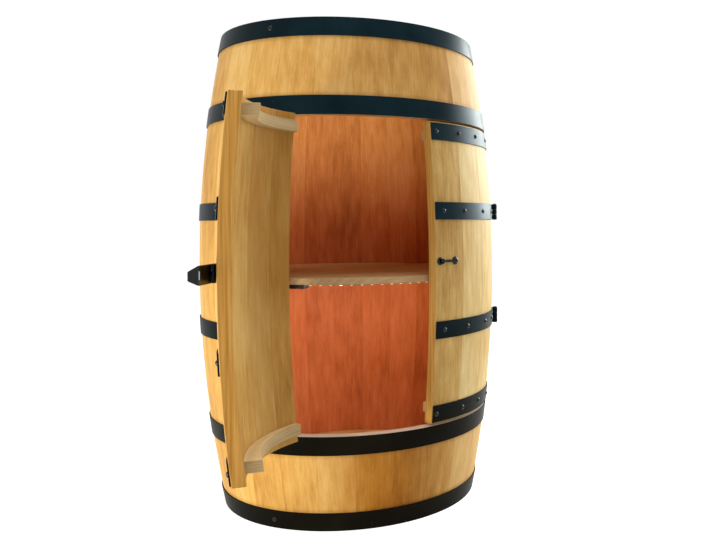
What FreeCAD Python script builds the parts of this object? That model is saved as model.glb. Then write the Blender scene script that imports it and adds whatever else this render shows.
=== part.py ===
"""Barrel bar cabinet: an 80 cm coopered barrel with two curved doors, one shelf and a hasp.

Millimetres, +Z up. The origin is on the floor, on the barrel's axis. The front, where the two
doors meet, faces -Y. An azimuth is counted from the front, towards +X, in degrees.
The left door stands open, the right door is closed and the hasp is half swung out.
"""

import FreeCAD, Part
import math
import os

import Sketcher
from FreeCAD import Placement, Rotation, Vector

doc = FreeCAD.newDocument("barrel_bar_cabinet")
UP = Vector(0, 0, 1)

# ---------------------------------------------------------------- driving dimensions

DIMENSIONS = {
    "barrel_height": 800,
    "belly_radius": 258.5,
    "rim_radius": 218,
    "stave_thickness": 18,
    "stave_count": 25,
    "stave_gap_angle": 0.05,
    "opening_half_angle": 54,
    "door_bottom": 157,
    "door_top": 643,
    "door_gap": 3,
    "door_side_angle": 0.45,
    "hoop_width": 30,
    "strap_width": 28,
    "band_thickness": 2,
    "band_seat": 0.1,
    "upper_hinge_level": 499.5,
    "lower_hinge_level": 309,
    "hinge_radius": 264,
    "knuckle_radius": 4.6,
    "pin_radius": 2.5,
    "running_fit": 0.05,
    "chime_depth": 30,
    "head_thickness": 18,
    "croze_depth": 5,
    "croze_height": 8,
    "chime_bevel": 6,
    "head_kerf": 0.4,
    "shelf_top": 396,
    "shelf_thickness": 10,
    "shelf_radius": 235,
    "cleat_thickness": 18,
    "light_depth": 3,
    "light_width": 10,
    "ledge_thickness": 16,
    "ledge_width": 23,
    "ledge_tip_width": 10.5,
    "ledge_set_back": 12,
    "hasp_level": 419,
    "hasp_height": 24,
    "hasp_reach": 58,
    "hasp_bend": 45,
    "hasp_slot": 41.6,
    "hasp_sheet": 2,
    "hasp_radius": 262,
    "hasp_knuckle_radius": 3.2,
    "hasp_pin_radius": 1.5,
    "rosette_radius": 7,
    "rosette_height": 4,
    "screw_head_radius": 4.2,
    "screw_head_height": 2.2,
    "screw_shank_radius": 1.8,
    "screw_shank_length": 12,
}

STAVE_PITCH = 360 / DIMENSIONS["stave_count"]
LEFT_DOOR_OPEN = 107.2
HASP_OPEN = 23
HASP_AZIMUTH = -6.6

sheet = doc.addObject("Spreadsheet::Sheet", "sizes")
for row, (alias, number) in enumerate(DIMENSIONS.items(), start=1):
    sheet.set(f"A{row}", alias)
    sheet.set(f"B{row}", str(number))
    sheet.setAlias(f"B{row}", alias)
doc.recompute()


class Size:
    """A length that knows its value and the spreadsheet expression that gives it."""

    def __init__(self, value, text):
        self.value = value
        self.text = text

    def __add__(self, other):
        other = as_size(other)
        return Size(self.value + other.value, f"({self.text} + {other.text})")

    def __sub__(self, other):
        other = as_size(other)
        return Size(self.value - other.value, f"({self.text} - {other.text})")

    def __mul__(self, other):
        other = as_size(other)
        return Size(self.value * other.value, f"({self.text} * {other.text})")

    def __truediv__(self, other):
        other = as_size(other)
        return Size(self.value / other.value, f"({self.text} / {other.text})")

    def __neg__(self):
        return as_size(0) - self


def as_size(number):
    return number if isinstance(number, Size) else Size(number, repr(number))


def cell(alias):
    return Size(sheet.get(alias), f"sizes.{alias}")


def root(size):
    return Size(math.sqrt(size.value), f"sqrt({size.text})")


HEIGHT = cell("barrel_height")
BELLY = cell("belly_radius")
BULGE = BELLY - cell("rim_radius")
THICKNESS = cell("stave_thickness")
MIDDLE = HEIGHT / 2
# The staves' outside is one circular arc in every upright plane through the axis.
ARC_RADIUS = (MIDDLE * MIDDLE + BULGE * BULGE) / (BULGE * 2)
ARC_CENTRE = BELLY - ARC_RADIUS
DOOR_BOTTOM = cell("door_bottom")
DOOR_TOP = cell("door_top")
SEAT = cell("band_seat")
BAND_OUT = SEAT + cell("band_thickness")
LEDGE_OUT = -(THICKNESS + SEAT)
LEDGE_IN = LEDGE_OUT - cell("ledge_width")
HINGE_AZIMUTH = sheet.get("opening_half_angle")


def radius_at(level, offset=0):
    """The barrel's radius at a level, for the surface that lies offset outside the staves."""
    curve = ARC_RADIUS + offset
    rise = level - MIDDLE
    return ARC_CENTRE + root(curve * curve - rise * rise)


# ---------------------------------------------------------------- sketch and feature tools

def new_body(label):
    body = doc.addObject("PartDesign::Body", label)
    body.Label = label
    return body


def new_sketch(body, role):
    plane = [f for f in body.Origin.OriginFeatures if f.Role == role][0]
    sketch = body.newObject("Sketcher::SketchObject", f"{body.Label}_sketch")
    sketch.AttachmentSupport = [(plane, "")]
    sketch.MapMode = "FlatFace"
    return sketch


def bind(sketch, constraint, size):
    index = sketch.addConstraint(constraint)
    sketch.renameConstraint(index, f"size{index}")
    if isinstance(size, Size):
        sketch.setExpression(f"Constraints.size{index}", size.text)


def pin_point(sketch, edge, end, x, y):
    """Ties one end of an edge to (x, y), counted from the sketch's origin."""
    bind(sketch, Sketcher.Constraint("DistanceX", -1, 1, edge, end, as_size(x).value), x)
    bind(sketch, Sketcher.Constraint("DistanceY", -1, 1, edge, end, as_size(y).value), y)


def draw_polygon(sketch, points):
    corners = [Vector(as_size(x).value, as_size(y).value, 0) for x, y in points]
    first = sketch.GeometryCount
    for i, corner in enumerate(corners):
        sketch.addGeometry(Part.LineSegment(corner, corners[(i + 1) % len(corners)]), False)
    for i, (x, y) in enumerate(points):
        following = first + (i + 1) % len(points)
        sketch.addConstraint(Sketcher.Constraint("Coincident", first + i, 2, following, 1))
        pin_point(sketch, first + i, 1, x, y)


def draw_circle(sketch, x, y, radius):
    centre = Vector(as_size(x).value, as_size(y).value, 0)
    circle = sketch.addGeometry(Part.Circle(centre, UP, as_size(radius).value), False)
    pin_point(sketch, circle, 3, x, y)
    bind(sketch, Sketcher.Constraint("Radius", circle, as_size(radius).value), radius)


def draw_band(sketch, bottom, top, outside, inside):
    """The section of a piece bent to the barrel: two arcs on one centre, closed by level lines."""
    centre = Vector(ARC_CENTRE.value, MIDDLE.value, 0)
    ends = []
    for offset in (outside, inside):
        curve = (ARC_RADIUS + offset).value
        angles = [math.asin((level - MIDDLE).value / curve) for level in (bottom, top)]
        arc = Part.ArcOfCircle(Part.Circle(centre, UP, curve), *angles)
        ends.append((sketch.addGeometry(arc, False), arc.StartPoint, arc.EndPoint))
    (outer, low_out, high_out), (inner, low_in, high_in) = ends
    floor = sketch.addGeometry(Part.LineSegment(low_out, low_in), False)
    roof = sketch.addGeometry(Part.LineSegment(high_out, high_in), False)
    joins = ((floor, 1, outer, 1), (floor, 2, inner, 1), (roof, 1, outer, 2), (roof, 2, inner, 2))
    for join in joins:
        sketch.addConstraint(Sketcher.Constraint("Coincident", *join))
    sketch.addConstraint(Sketcher.Constraint("Coincident", outer, 3, inner, 3))
    sketch.addConstraint(Sketcher.Constraint("Horizontal", floor))
    sketch.addConstraint(Sketcher.Constraint("Horizontal", roof))
    pin_point(sketch, outer, 3, ARC_CENTRE, MIDDLE)
    for arc, offset in ((outer, outside), (inner, inside)):
        curve = ARC_RADIUS + offset
        bind(sketch, Sketcher.Constraint("Radius", arc, curve.value), curve)
    for line, level in ((floor, bottom), (roof, top)):
        height = Sketcher.Constraint("DistanceY", -1, 1, line, 1, as_size(level).value)
        bind(sketch, height, level)


def revolve(body, sketch, angle, side="both", cut=False):
    """Turns a sketch about the barrel's axis: to both sides of its plane, or to one side."""
    kind = "PartDesign::Groove" if cut else "PartDesign::Revolution"
    feature = body.newObject(kind, f"{body.Label}_turn")
    feature.Profile = sketch
    feature.ReferenceAxis = (sketch, ["V_Axis"])
    feature.Midplane = side == "both"
    feature.Reversed = side == "lower"
    if isinstance(angle, Size):
        feature.setExpression("Angle", angle.text)
    else:
        feature.Angle = angle
    return feature


def extrude(body, sketch, length, symmetric=False, reverse=False, cut=False):
    kind = "PartDesign::Pocket" if cut else "PartDesign::Pad"
    feature = body.newObject(kind, f"{body.Label}_pad")
    feature.Profile = sketch
    feature.Midplane = symmetric
    feature.Reversed = reverse
    feature.setExpression("Length", as_size(length).text)
    return feature


def turned(azimuth):
    """The placement of a body whose own +X points at an azimuth of the barrel."""
    return Placement(Vector(), Rotation(UP, azimuth - 90))


def facing(azimuth):
    """The placement of a body whose own -Y points at an azimuth of the barrel."""
    return Placement(Vector(), Rotation(UP, azimuth))


def axis_point(side):
    """The hinge axis of the door on one side: -1 is the left door, 1 the right door."""
    angle = math.radians(HINGE_AZIMUTH)
    radius = sheet.get("hinge_radius")
    return Vector(side * radius * math.sin(angle), -radius * math.cos(angle), 0)


def swing(centre, angle):
    return Placement(Vector(), Rotation(UP, angle), centre)


BARREL = Placement()
LEFT_DOOR = swing(axis_point(-1), -LEFT_DOOR_OPEN)
RIGHT_DOOR = Placement()
HASP_AXIS = turned(HASP_AZIMUTH).multVec(Vector(sheet.get("hasp_radius"), 0, 0))
HASP = LEFT_DOOR.multiply(swing(HASP_AXIS, -HASP_OPEN))

parts = []


def keep(node, carrier=BARREL, base=None):
    """Lists a piece to write, seated on what carries it."""
    start = base if base is not None else node.Placement
    node.Placement = carrier.multiply(start)
    parts.append(node)
    return node


def group(label, members):
    bundle = doc.addObject("Part::Compound", label)
    bundle.Label = label
    bundle.Links = members
    return bundle


def band(label, levels, offsets, azimuths, gap=0):
    """One bent piece between two levels, two offsets and two azimuths."""
    body = new_body(label)
    sketch = new_sketch(body, "XZ_Plane")
    draw_band(sketch, levels[0], levels[1], offsets[0], offsets[1])
    low, high = azimuths
    angle = as_size(high - low) - cell("stave_gap_angle") if gap else high - low
    revolve(body, sketch, angle)
    body.Placement = turned((low + high) / 2)
    return body


# ---------------------------------------------------------------- the barrel's staves

STAVE = (as_size(0), -THICKNESS)
OPENING_BOTTOM = DOOR_BOTTOM - cell("door_gap")
OPENING_TOP = DOOR_TOP + cell("door_gap")


def cut_end_joints(body, ends):
    """The croze, the groove that holds a head, and the bevel inside the chime."""
    sketch = new_sketch(body, "XZ_Plane")
    bevel = cell("chime_bevel")
    half = cell("croze_height") / 2
    for rim, inward in ends:
        seat = rim + cell("chime_depth") * inward + cell("head_thickness") / 2 * inward
        depth = radius_at(seat, -THICKNESS) + cell("croze_depth")
        inner = depth - cell("croze_depth") * 3
        corners = ((inner, seat - half), (depth, seat - half), (depth, seat + half))
        draw_polygon(sketch, (*corners, (inner, seat + half)))
        lip = radius_at(rim, -THICKNESS) + bevel
        foot = rim + bevel * 2 * inward
        over = rim - bevel * inward
        draw_polygon(sketch, ((lip, rim), (lip - bevel * 2, foot), (lip - bevel * 2, over), (lip, over)))
    revolve(body, sketch, 360, cut=True)


BOTTOM_END = (as_size(0), 1)
TOP_END = (HEIGHT, -1)


def stave(label, bottom, top, azimuth, ends):
    body = band(label, (bottom, top), STAVE, (azimuth, azimuth + STAVE_PITCH), gap=1)
    cut_end_joints(body, ends)
    return body


FRONT_STAVES = 2 * int(HINGE_AZIMUTH // STAVE_PITCH)
FRONT_EDGE = FRONT_STAVES / 2 * STAVE_PITCH
JAMB_EDGE = FRONT_EDGE + STAVE_PITCH

for number in range(int(sheet.get("stave_count")) - FRONT_STAVES - 2):
    azimuth = JAMB_EDGE + number * STAVE_PITCH
    whole = stave(f"stave_{number + 1:02d}", as_size(0), HEIGHT, azimuth, (BOTTOM_END, TOP_END))
    keep(whole)

for label, bottom, top, end in (
    ("lower_front_staves", as_size(0), OPENING_BOTTOM, BOTTOM_END),
    ("upper_front_staves", OPENING_TOP, HEIGHT, TOP_END),
):
    short = []
    for number in range(FRONT_STAVES):
        azimuth = number * STAVE_PITCH - FRONT_EDGE
        short.append(stave(f"{label}_{number + 1}", bottom, top, azimuth, (end,)))
    keep(group(label, short))


def jamb_stave(label, side):
    """The stave that the doorway's edge runs through: whole beside it, short above and below."""
    body = new_body(label)
    behind = "upper" if side > 0 else "lower"
    before = "lower" if side > 0 else "upper"
    spans = (
        (as_size(0), HEIGHT, JAMB_EDGE - HINGE_AZIMUTH, behind),
        (as_size(0), OPENING_BOTTOM, HINGE_AZIMUTH - FRONT_EDGE, before),
        (OPENING_TOP, HEIGHT, HINGE_AZIMUTH - FRONT_EDGE, before),
    )
    for bottom, top, angle, direction in spans:
        sketch = new_sketch(body, "XZ_Plane")
        draw_band(sketch, bottom, top, *STAVE)
        revolve(body, sketch, as_size(angle) - cell("stave_gap_angle"), direction)
    cut_end_joints(body, (BOTTOM_END, TOP_END))
    body.Placement = turned(side * HINGE_AZIMUTH)
    return keep(body)


jamb_stave("left_jamb_stave", -1)
jamb_stave("right_jamb_stave", 1)

# ---------------------------------------------------------------- the heads

HEAD_BOARDS = 6


def head(label, rim, inward):
    """A round head of edge-jointed boards. A tongue round its edge sits in the croze."""
    body = new_body(f"{label}_disc")
    sketch = new_sketch(body, "XZ_Plane")
    play = cell("band_seat") * 3
    outer_face = rim + cell("chime_depth") * inward
    inner_face = outer_face + cell("head_thickness") * inward
    seat = outer_face + cell("head_thickness") / 2 * inward
    half = (cell("croze_height") / 2 - play) * inward
    rim_radius = radius_at(outer_face, -THICKNESS) - play
    inner_radius = radius_at(seat, -THICKNESS) - play
    tongue = radius_at(seat, -THICKNESS) + cell("croze_depth") - play
    draw_polygon(sketch, (
        (0, outer_face), (rim_radius, outer_face), (rim_radius, seat - half), (tongue, seat - half),
        (tongue, seat + half), (inner_radius, seat + half), (inner_radius, inner_face), (0, inner_face),
    ))
    revolve(body, sketch, 360)
    width = 2 * tongue.value
    kerfs = []
    for number in range(1, HEAD_BOARDS):
        kerf = doc.addObject("Part::Box", f"{label}_kerf_{number}")
        kerf.setExpression("Width", cell("head_kerf").text)
        kerf.Length = width
        kerf.Height = HEIGHT.value
        kerf.Placement.Base = Vector(-width / 2, number * width / HEAD_BOARDS - width / 2, 0)
        kerfs.append(kerf)
    boards = doc.addObject("Part::Cut", label)
    boards.Label = label
    boards.Base = body
    boards.Tool = group(f"{label}_kerfs", kerfs)
    return keep(boards)


head("bottom_head", *BOTTOM_END)
head("top_head", *TOP_END)

# ---------------------------------------------------------------- hoops and hinges

HOOP = cell("hoop_width")
STRAP = cell("strap_width")
HOOP_OFFSETS = (BAND_OUT, SEAT)
UPPER_HINGE = cell("upper_hinge_level")
LOWER_HINGE = cell("lower_hinge_level")
FULL_HOOPS = {
    "bottom_hoop": as_size(0),
    "lower_hoop": OPENING_BOTTOM - HOOP,
    "upper_hoop": OPENING_TOP,
    "top_hoop": HEIGHT - HOOP,
}
for label, bottom in FULL_HOOPS.items():
    keep(band(label, (bottom, bottom + HOOP), HOOP_OFFSETS, (0, 360)))

KNUCKLE = STRAP / 3
KNUCKLE_PLAY = 0.3
HINGE_RADIUS = cell("hinge_radius")
STRAP_END = cell("knuckle_radius") + 0.6
TONGUE_END = STRAP_END + 3


def add_knuckle(body, level, share, side):
    """A rolled knuckle on the hinge axis, on a tongue that slopes down from it to its strap.

    The body's own XZ plane holds the hinge axis. The strap lies on the side given by side.
    """
    middle_side = 1 if level.value < MIDDLE.value else -1
    foot = radius_at(level + STRAP / 2 * middle_side) + SEAT
    face = foot + cell("band_thickness")
    tongue = new_sketch(body, "XY_Plane")
    end, bend = TONGUE_END * side, STRAP_END * side
    under = HINGE_RADIUS - cell("knuckle_radius")
    draw_polygon(tongue, (
        (foot, end), (face, end), (face, bend),
        (under + cell("band_thickness"), 0), (under, 0), (foot, bend),
    ))
    barrel = new_sketch(body, "XY_Plane")
    draw_circle(barrel, HINGE_RADIUS, 0, cell("knuckle_radius"))
    bottom = level - STRAP / 2 + KNUCKLE * share
    for sketch in (barrel, tongue):
        sketch.setExpression("AttachmentOffset.Base.z", (bottom + KNUCKLE_PLAY / 2).text)
        extrude(body, sketch, KNUCKLE - KNUCKLE_PLAY)


def bore_knuckles(body, level):
    hole = new_sketch(body, "XY_Plane")
    draw_circle(hole, HINGE_RADIUS, 0, cell("pin_radius") + cell("running_fit"))
    hole.setExpression("AttachmentOffset.Base.z", level.text)
    extrude(body, hole, STRAP * 2, symmetric=True, cut=True)


def hinge_leaf(label, level, side, reach, shares):
    """A strap bent to the barrel that ends in knuckles. side 1 runs to higher azimuths."""
    body = new_body(label)
    sketch = new_sketch(body, "XZ_Plane")
    draw_band(sketch, level - STRAP / 2, level + STRAP / 2, *HOOP_OFFSETS)
    revolve(body, sketch, reach, "upper" if side > 0 else "lower")
    gap = new_sketch(body, "XY_Plane")
    inner = BELLY - THICKNESS
    outer = BELLY + THICKNESS
    past = -STRAP_END * side
    edge = STRAP_END * side
    draw_polygon(gap, ((inner, past), (outer, past), (outer, edge), (inner, edge)))
    gap.setExpression("AttachmentOffset.Base.z", level.text)
    extrude(body, gap, STRAP * 2, symmetric=True, cut=True)
    for share in shares:
        add_knuckle(body, level, share, side)
    return body


OUTER_SHARES = (0, 2)
MIDDLE_SHARE = (1,)
DOOR_REACH = HINGE_AZIMUTH - 0.8


def hinge_hoop(label, level):
    """A hoop round the back of the barrel. Its ends carry the fixed knuckles of both doors."""
    halves = []
    for side in (-1, 1):
        half = hinge_leaf(f"{label}_half_{side + 2}", level, side, 180 - HINGE_AZIMUTH, OUTER_SHARES)
        bore_knuckles(half, level)
        half.Placement = turned(side * HINGE_AZIMUTH)
        halves.append(half)
    hoop = doc.addObject("Part::Fuse", label)
    hoop.Label = label
    hoop.Base, hoop.Tool = halves
    return keep(hoop)


hinge_hoop("upper_hinge_hoop", UPPER_HINGE)
hinge_hoop("lower_hinge_hoop", LOWER_HINGE)

pins = []
for side in (-1, 1):
    for level in (UPPER_HINGE, LOWER_HINGE):
        pin = new_body(f"hinge_pin_{len(pins) + 1}")
        shank = new_sketch(pin, "XY_Plane")
        draw_circle(shank, 0, 0, cell("pin_radius"))
        shank.setExpression("AttachmentOffset.Base.z", (level - STRAP / 2).text)
        extrude(pin, shank, STRAP)
        cap = new_sketch(pin, "XY_Plane")
        draw_circle(cap, 0, 0, cell("knuckle_radius") - 0.8)
        cap.setExpression("AttachmentOffset.Base.z", (level + STRAP / 2).text)
        extrude(pin, cap, 1.6)
        pin.Placement.Base = axis_point(side)
        pins.append(pin)
keep(group("hinge_pins", pins))

# ---------------------------------------------------------------- the doors

DOOR_SIDE = sheet.get("door_side_angle")
TOP_STRAP = DOOR_TOP - 2 - STRAP / 2
BOTTOM_STRAP = DOOR_BOTTOM + 2 + STRAP / 2
SCREWS = {
    TOP_STRAP: (3.2, 15.4, 28.5, 44),
    UPPER_HINGE: (4.6, 15.6, 30.3, 44),
    LOWER_HINGE: (4.6, 17.2, 32.2, 44),
    BOTTOM_STRAP: (2.4, 16.8, 30.3, 44),
}


def cap(label, radius, height, foot=0):
    """A raised head with sloping sides. Its flat side is level, foot above the object's own origin."""
    cone = doc.addObject("Part::Cone", label)
    cone.setExpression("Radius1", radius.text)
    cone.setExpression("Radius2", (radius * 0.6).text)
    cone.setExpression("Height", as_size(height).text)
    cone.Placement.Base = Vector(0, 0, as_size(foot).value)
    return cone


def screw(label, azimuth, level, offset):
    """A screw whose raised head sits on the surface that lies offset outside the staves."""
    shaft = doc.addObject("Part::Cylinder", f"{label}_shank")
    shaft.setExpression("Radius", cell("screw_shank_radius").text)
    shaft.setExpression("Height", cell("screw_shank_length").text)
    whole = doc.addObject("Part::Fuse", label)
    whole.Base = shaft
    length = cell("screw_shank_length")
    whole.Tool = cap(f"{label}_head", cell("screw_head_radius"), cell("screw_head_height"), length)
    depth = radius_at(level, offset) - length
    outwards = Placement(Vector(depth.value, 0, level.value), Rotation(Vector(0, 1, 0), 90))
    whole.Placement = turned(azimuth).multiply(outwards)
    return whole


LEDGE_BLOCK = 5.5
LEDGE_START = 4
LEDGE_THIN = 48
LEDGE_PLAY = 1.2


def door_ledge(label, bottom, side):
    """A curved batten behind the door. A long hollow thins it from its free end to the hinge.

    The body's own XZ plane lies where the batten is thinnest.
    """
    body = new_body(label)
    top = bottom + cell("ledge_thickness")
    behind, before = ("upper", "lower") if side > 0 else ("lower", "upper")
    spans = ((HINGE_AZIMUTH - LEDGE_PLAY - LEDGE_THIN, behind), (LEDGE_THIN - LEDGE_START, before))
    for angle, direction in spans:
        sketch = new_sketch(body, "XZ_Plane")
        draw_band(sketch, bottom, top, LEDGE_OUT, LEDGE_IN)
        revolve(body, sketch, angle, direction)
    back = radius_at(bottom + cell("ledge_thickness") / 2, LEDGE_OUT)
    thin = back - cell("ledge_tip_width")
    block = back - cell("ledge_width")
    # The hollow is a circle that passes the block's corner and touches the thinnest place.
    lean = math.cos(math.radians(LEDGE_THIN - LEDGE_BLOCK))
    centre = (thin * thin - block * block) / ((thin - block * lean) * 2)
    hollow = new_sketch(body, "XY_Plane")
    draw_circle(hollow, centre, 0, thin - centre)
    hollow.setExpression("AttachmentOffset.Base.z", bottom.text)
    extrude(body, hollow, cell("ledge_thickness") * 4, symmetric=True, cut=True)
    body.Placement = turned(side * LEDGE_THIN)
    return body


def door(name, side, carrier):
    panels = []
    edges = [DOOR_SIDE, *(STAVE_PITCH * n for n in range(1, 4)), HINGE_AZIMUTH - DOOR_SIDE]
    for number, (low, high) in enumerate(zip(edges, edges[1:]), start=1):
        azimuths = (low, high) if side > 0 else (-high, -low)
        panel = band(f"{name}_stave_{number}", (DOOR_BOTTOM, DOOR_TOP), STAVE, azimuths, gap=1)
        panels.append(panel)
    keep(group(f"{name}_staves", panels), carrier)

    set_back = cell("ledge_set_back")
    keep(door_ledge(f"{name}_bottom_ledge", DOOR_BOTTOM + set_back, side), carrier)
    top_ledge = DOOR_TOP - set_back - cell("ledge_thickness")
    keep(door_ledge(f"{name}_top_ledge", top_ledge, side), carrier)

    reach = (DOOR_SIDE + 0.4, HINGE_AZIMUTH - 1.2)
    azimuths = reach if side > 0 else (-reach[1], -reach[0])
    for label, level in (("bottom_strap", BOTTOM_STRAP), ("top_strap", TOP_STRAP)):
        levels = (level - STRAP / 2, level + STRAP / 2)
        keep(band(f"{name}_{label}", levels, HOOP_OFFSETS, azimuths), carrier)
    for label, level in (("lower_hinge_strap", LOWER_HINGE), ("upper_hinge_strap", UPPER_HINGE)):
        strap = hinge_leaf(f"{name}_{label}", level, -side, DOOR_REACH, MIDDLE_SHARE)
        bore_knuckles(strap, level)
        keep(strap, carrier, turned(side * HINGE_AZIMUTH))

    screws = []
    for level, azimuths in SCREWS.items():
        for azimuth in azimuths:
            label = f"{name}_screw_{len(screws) + 1}"
            screws.append(screw(label, side * azimuth, level, BAND_OUT))
    keep(group(f"{name}_screws", screws), carrier)


door("left_door", -1, LEFT_DOOR)
door("right_door", 1, RIGHT_DOOR)

# ---------------------------------------------------------------- hasp, pin and staple

HASP_LEVEL = cell("hasp_level")
HASP_HALF = cell("hasp_height") / 2
HASP_SHEET = cell("hasp_sheet")
HASP_KNUCKLE = cell("hasp_height") / 3
HASP_ROLL = cell("hasp_knuckle_radius")
HASP_CLEAR = HASP_ROLL + 0.5
SLOT_WIDTH = 6
SLOT_HEIGHT = 10.5
LIP_RISE = 7


def hasp_roll(body, x, y, shares):
    """Knuckles on the pin axis at (x, y) of the body, bored for the pin."""
    for share in shares:
        ring = new_sketch(body, "XY_Plane")
        draw_circle(ring, x, y, HASP_ROLL)
        bottom = HASP_LEVEL - HASP_HALF + HASP_KNUCKLE * share + KNUCKLE_PLAY / 2
        ring.setExpression("AttachmentOffset.Base.z", bottom.text)
        extrude(body, ring, HASP_KNUCKLE - KNUCKLE_PLAY)
    hole = new_sketch(body, "XY_Plane")
    draw_circle(hole, x, y, cell("hasp_pin_radius") + cell("running_fit"))
    hole.setExpression("AttachmentOffset.Base.z", HASP_LEVEL.text)
    extrude(body, hole, HASP_HALF * 4, symmetric=True, cut=True)


def hasp_plate():
    """The swinging plate: flat, slotted for the staple, with its tip bent outwards.

    Its own origin is on the pin's axis, and it runs along its own +X when it is shut.
    """
    body = new_body("hasp_plate")
    bend = cell("hasp_bend")
    tip = cell("hasp_reach")
    back = -(HASP_ROLL - HASP_SHEET)
    face = back - HASP_SHEET
    side_view = new_sketch(body, "XY_Plane")
    draw_polygon(side_view, (
        (0, back), (bend, back), (tip, back - LIP_RISE), (tip - 1, face - LIP_RISE),
        (bend - 0.5, face), (0, face),
    ))
    side_view.setExpression("AttachmentOffset.Base.z", HASP_LEVEL.text)
    extrude(body, side_view, cell("hasp_height"), symmetric=True)
    low, high = HASP_LEVEL - HASP_HALF, HASP_LEVEL + HASP_HALF
    nose = HASP_HALF / 2
    past = tip + 4
    above, below = high + 1, low - 1
    cuts = new_sketch(body, "XZ_Plane")
    draw_polygon(cuts, ((bend + 2, above), (bend + 2, high), (tip, HASP_LEVEL + nose), (past, above)))
    draw_polygon(cuts, ((bend + 2, below), (bend + 2, low), (tip, HASP_LEVEL - nose), (past, below)))
    tongue = HASP_KNUCKLE / 2 - KNUCKLE_PLAY / 2
    for edge, middle in ((above, HASP_LEVEL + tongue), (below, HASP_LEVEL - tongue)):
        draw_polygon(cuts, ((-1, edge), (HASP_CLEAR, edge), (HASP_CLEAR, middle), (-1, middle)))
    left = cell("hasp_slot") - SLOT_WIDTH / 2
    floor = HASP_LEVEL - SLOT_HEIGHT / 2
    roof = floor + SLOT_HEIGHT
    draw_polygon(cuts, ((left, floor), (left + SLOT_WIDTH, floor), (left + SLOT_WIDTH, roof), (left, roof)))
    extrude(body, cuts, HASP_HALF * 8, symmetric=True, cut=True)
    hasp_roll(body, 0, 0, (1,))
    return body


keep(hasp_plate(), HASP, Placement(HASP_AXIS, Rotation()))

LEAF_AZIMUTH = -10
LEAF_LEFT = -14
LEAF_SCREW_LEVELS = (-6.5, 6.5)
HASP_FOOT = radius_at(HASP_LEVEL) + SEAT


def hasp_leaf(place):
    """The fixed leaf. Its own -Y faces out of the door at the leaf's azimuth."""
    body = new_body("hasp_leaf")
    roll_at = place.inverse().multVec(HASP_AXIS)
    end = roll_at.x - HASP_CLEAR.value
    plate = new_sketch(body, "XZ_Plane")
    low, high = HASP_LEVEL - HASP_HALF, HASP_LEVEL + HASP_HALF
    draw_polygon(plate, ((LEAF_LEFT, low), (end, low), (end, high), (LEAF_LEFT, high)))
    plate.setExpression("AttachmentOffset.Base.z", HASP_FOOT.text)
    extrude(body, plate, HASP_SHEET)
    for share in OUTER_SHARES:
        lug = new_sketch(body, "XZ_Plane")
        bottom = HASP_LEVEL - HASP_HALF + HASP_KNUCKLE * share + KNUCKLE_PLAY / 2
        top = bottom + HASP_KNUCKLE - KNUCKLE_PLAY
        draw_polygon(lug, ((end - 1, bottom), (roll_at.x, bottom), (roll_at.x, top), (end - 1, top)))
        lug.setExpression("AttachmentOffset.Base.z", HASP_FOOT.text)
        extrude(body, lug, HASP_SHEET)
    hasp_roll(body, roll_at.x, roll_at.y, OUTER_SHARES)
    return body


keep(hasp_leaf(facing(LEAF_AZIMUTH)), LEFT_DOOR, facing(LEAF_AZIMUTH))

leaf_screws = []
for rise in LEAF_SCREW_LEVELS:
    level = HASP_LEVEL + rise
    sunk = HASP_FOOT + HASP_SHEET - radius_at(level)
    leaf_screws.append(screw(f"hasp_screw_{len(leaf_screws) + 1}", LEAF_AZIMUTH - 1, level, sunk))
keep(group("hasp_screws", leaf_screws), LEFT_DOOR)

hasp_pin = doc.addObject("Part::Cylinder", "hasp_pin")
hasp_pin.setExpression("Radius", cell("hasp_pin_radius").text)
hasp_pin.setExpression("Height", cell("hasp_height").text)
pin_foot = HASP_AXIS + UP * (HASP_LEVEL - HASP_HALF).value
keep(hasp_pin, LEFT_DOOR, Placement(pin_foot, Rotation()))

STAPLE_AZIMUTH = 6.1
ROSETTE_SPREAD = 16.2
WEB_HALF = 1.9
EYE_HALF_HEIGHT = 4.2
EYE_HALF_WIDTH = 1.5
EYE_REACH = 10
EYE_HOLE_RADIUS = 1.8


def padlock_staple():
    """Two raised rosettes joined by a bar. The left one carries the eye for a padlock."""
    plates = new_body("staple_bar")
    bar = new_sketch(plates, "XZ_Plane")
    low, high = HASP_LEVEL - WEB_HALF, HASP_LEVEL + WEB_HALF
    spread = ROSETTE_SPREAD
    draw_polygon(bar, ((-spread, low), (spread, low), (spread, high), (-spread, high)))
    eye = new_sketch(plates, "XZ_Plane")
    left, right = -spread - EYE_HALF_WIDTH, -spread + EYE_HALF_WIDTH
    low, high = HASP_LEVEL - EYE_HALF_HEIGHT, HASP_LEVEL + EYE_HALF_HEIGHT
    draw_polygon(eye, ((left, low), (right, low), (right, high), (left, high)))
    for sketch, length in ((bar, HASP_SHEET), (eye, as_size(EYE_REACH))):
        sketch.setExpression("AttachmentOffset.Base.z", HASP_FOOT.text)
        extrude(plates, sketch, length)
    hole = new_sketch(plates, "YZ_Plane")
    draw_circle(hole, -(HASP_FOOT + EYE_REACH - 3.6), HASP_LEVEL, EYE_HOLE_RADIUS)
    extrude(plates, hole, as_size(spread * 4), symmetric=True, cut=True)
    pieces = [plates]
    low_cap = cell("rosette_height") / 2
    for x, height in ((-spread, low_cap), (spread, cell("rosette_height"))):
        rosette = cap(f"rosette_{len(pieces)}", cell("rosette_radius"), height, HASP_FOOT)
        upright = Rotation(Vector(1, 0, 0), 90)
        seat = Placement(Vector(x, 0, HASP_LEVEL.value), upright)
        rosette.Placement = seat.multiply(rosette.Placement)
        pieces.append(rosette)
    whole = doc.addObject("Part::MultiFuse", "staple")
    whole.Shapes = pieces
    return whole


keep(padlock_staple(), RIGHT_DOOR, facing(STAPLE_AZIMUTH))

# ---------------------------------------------------------------- the inside

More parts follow.
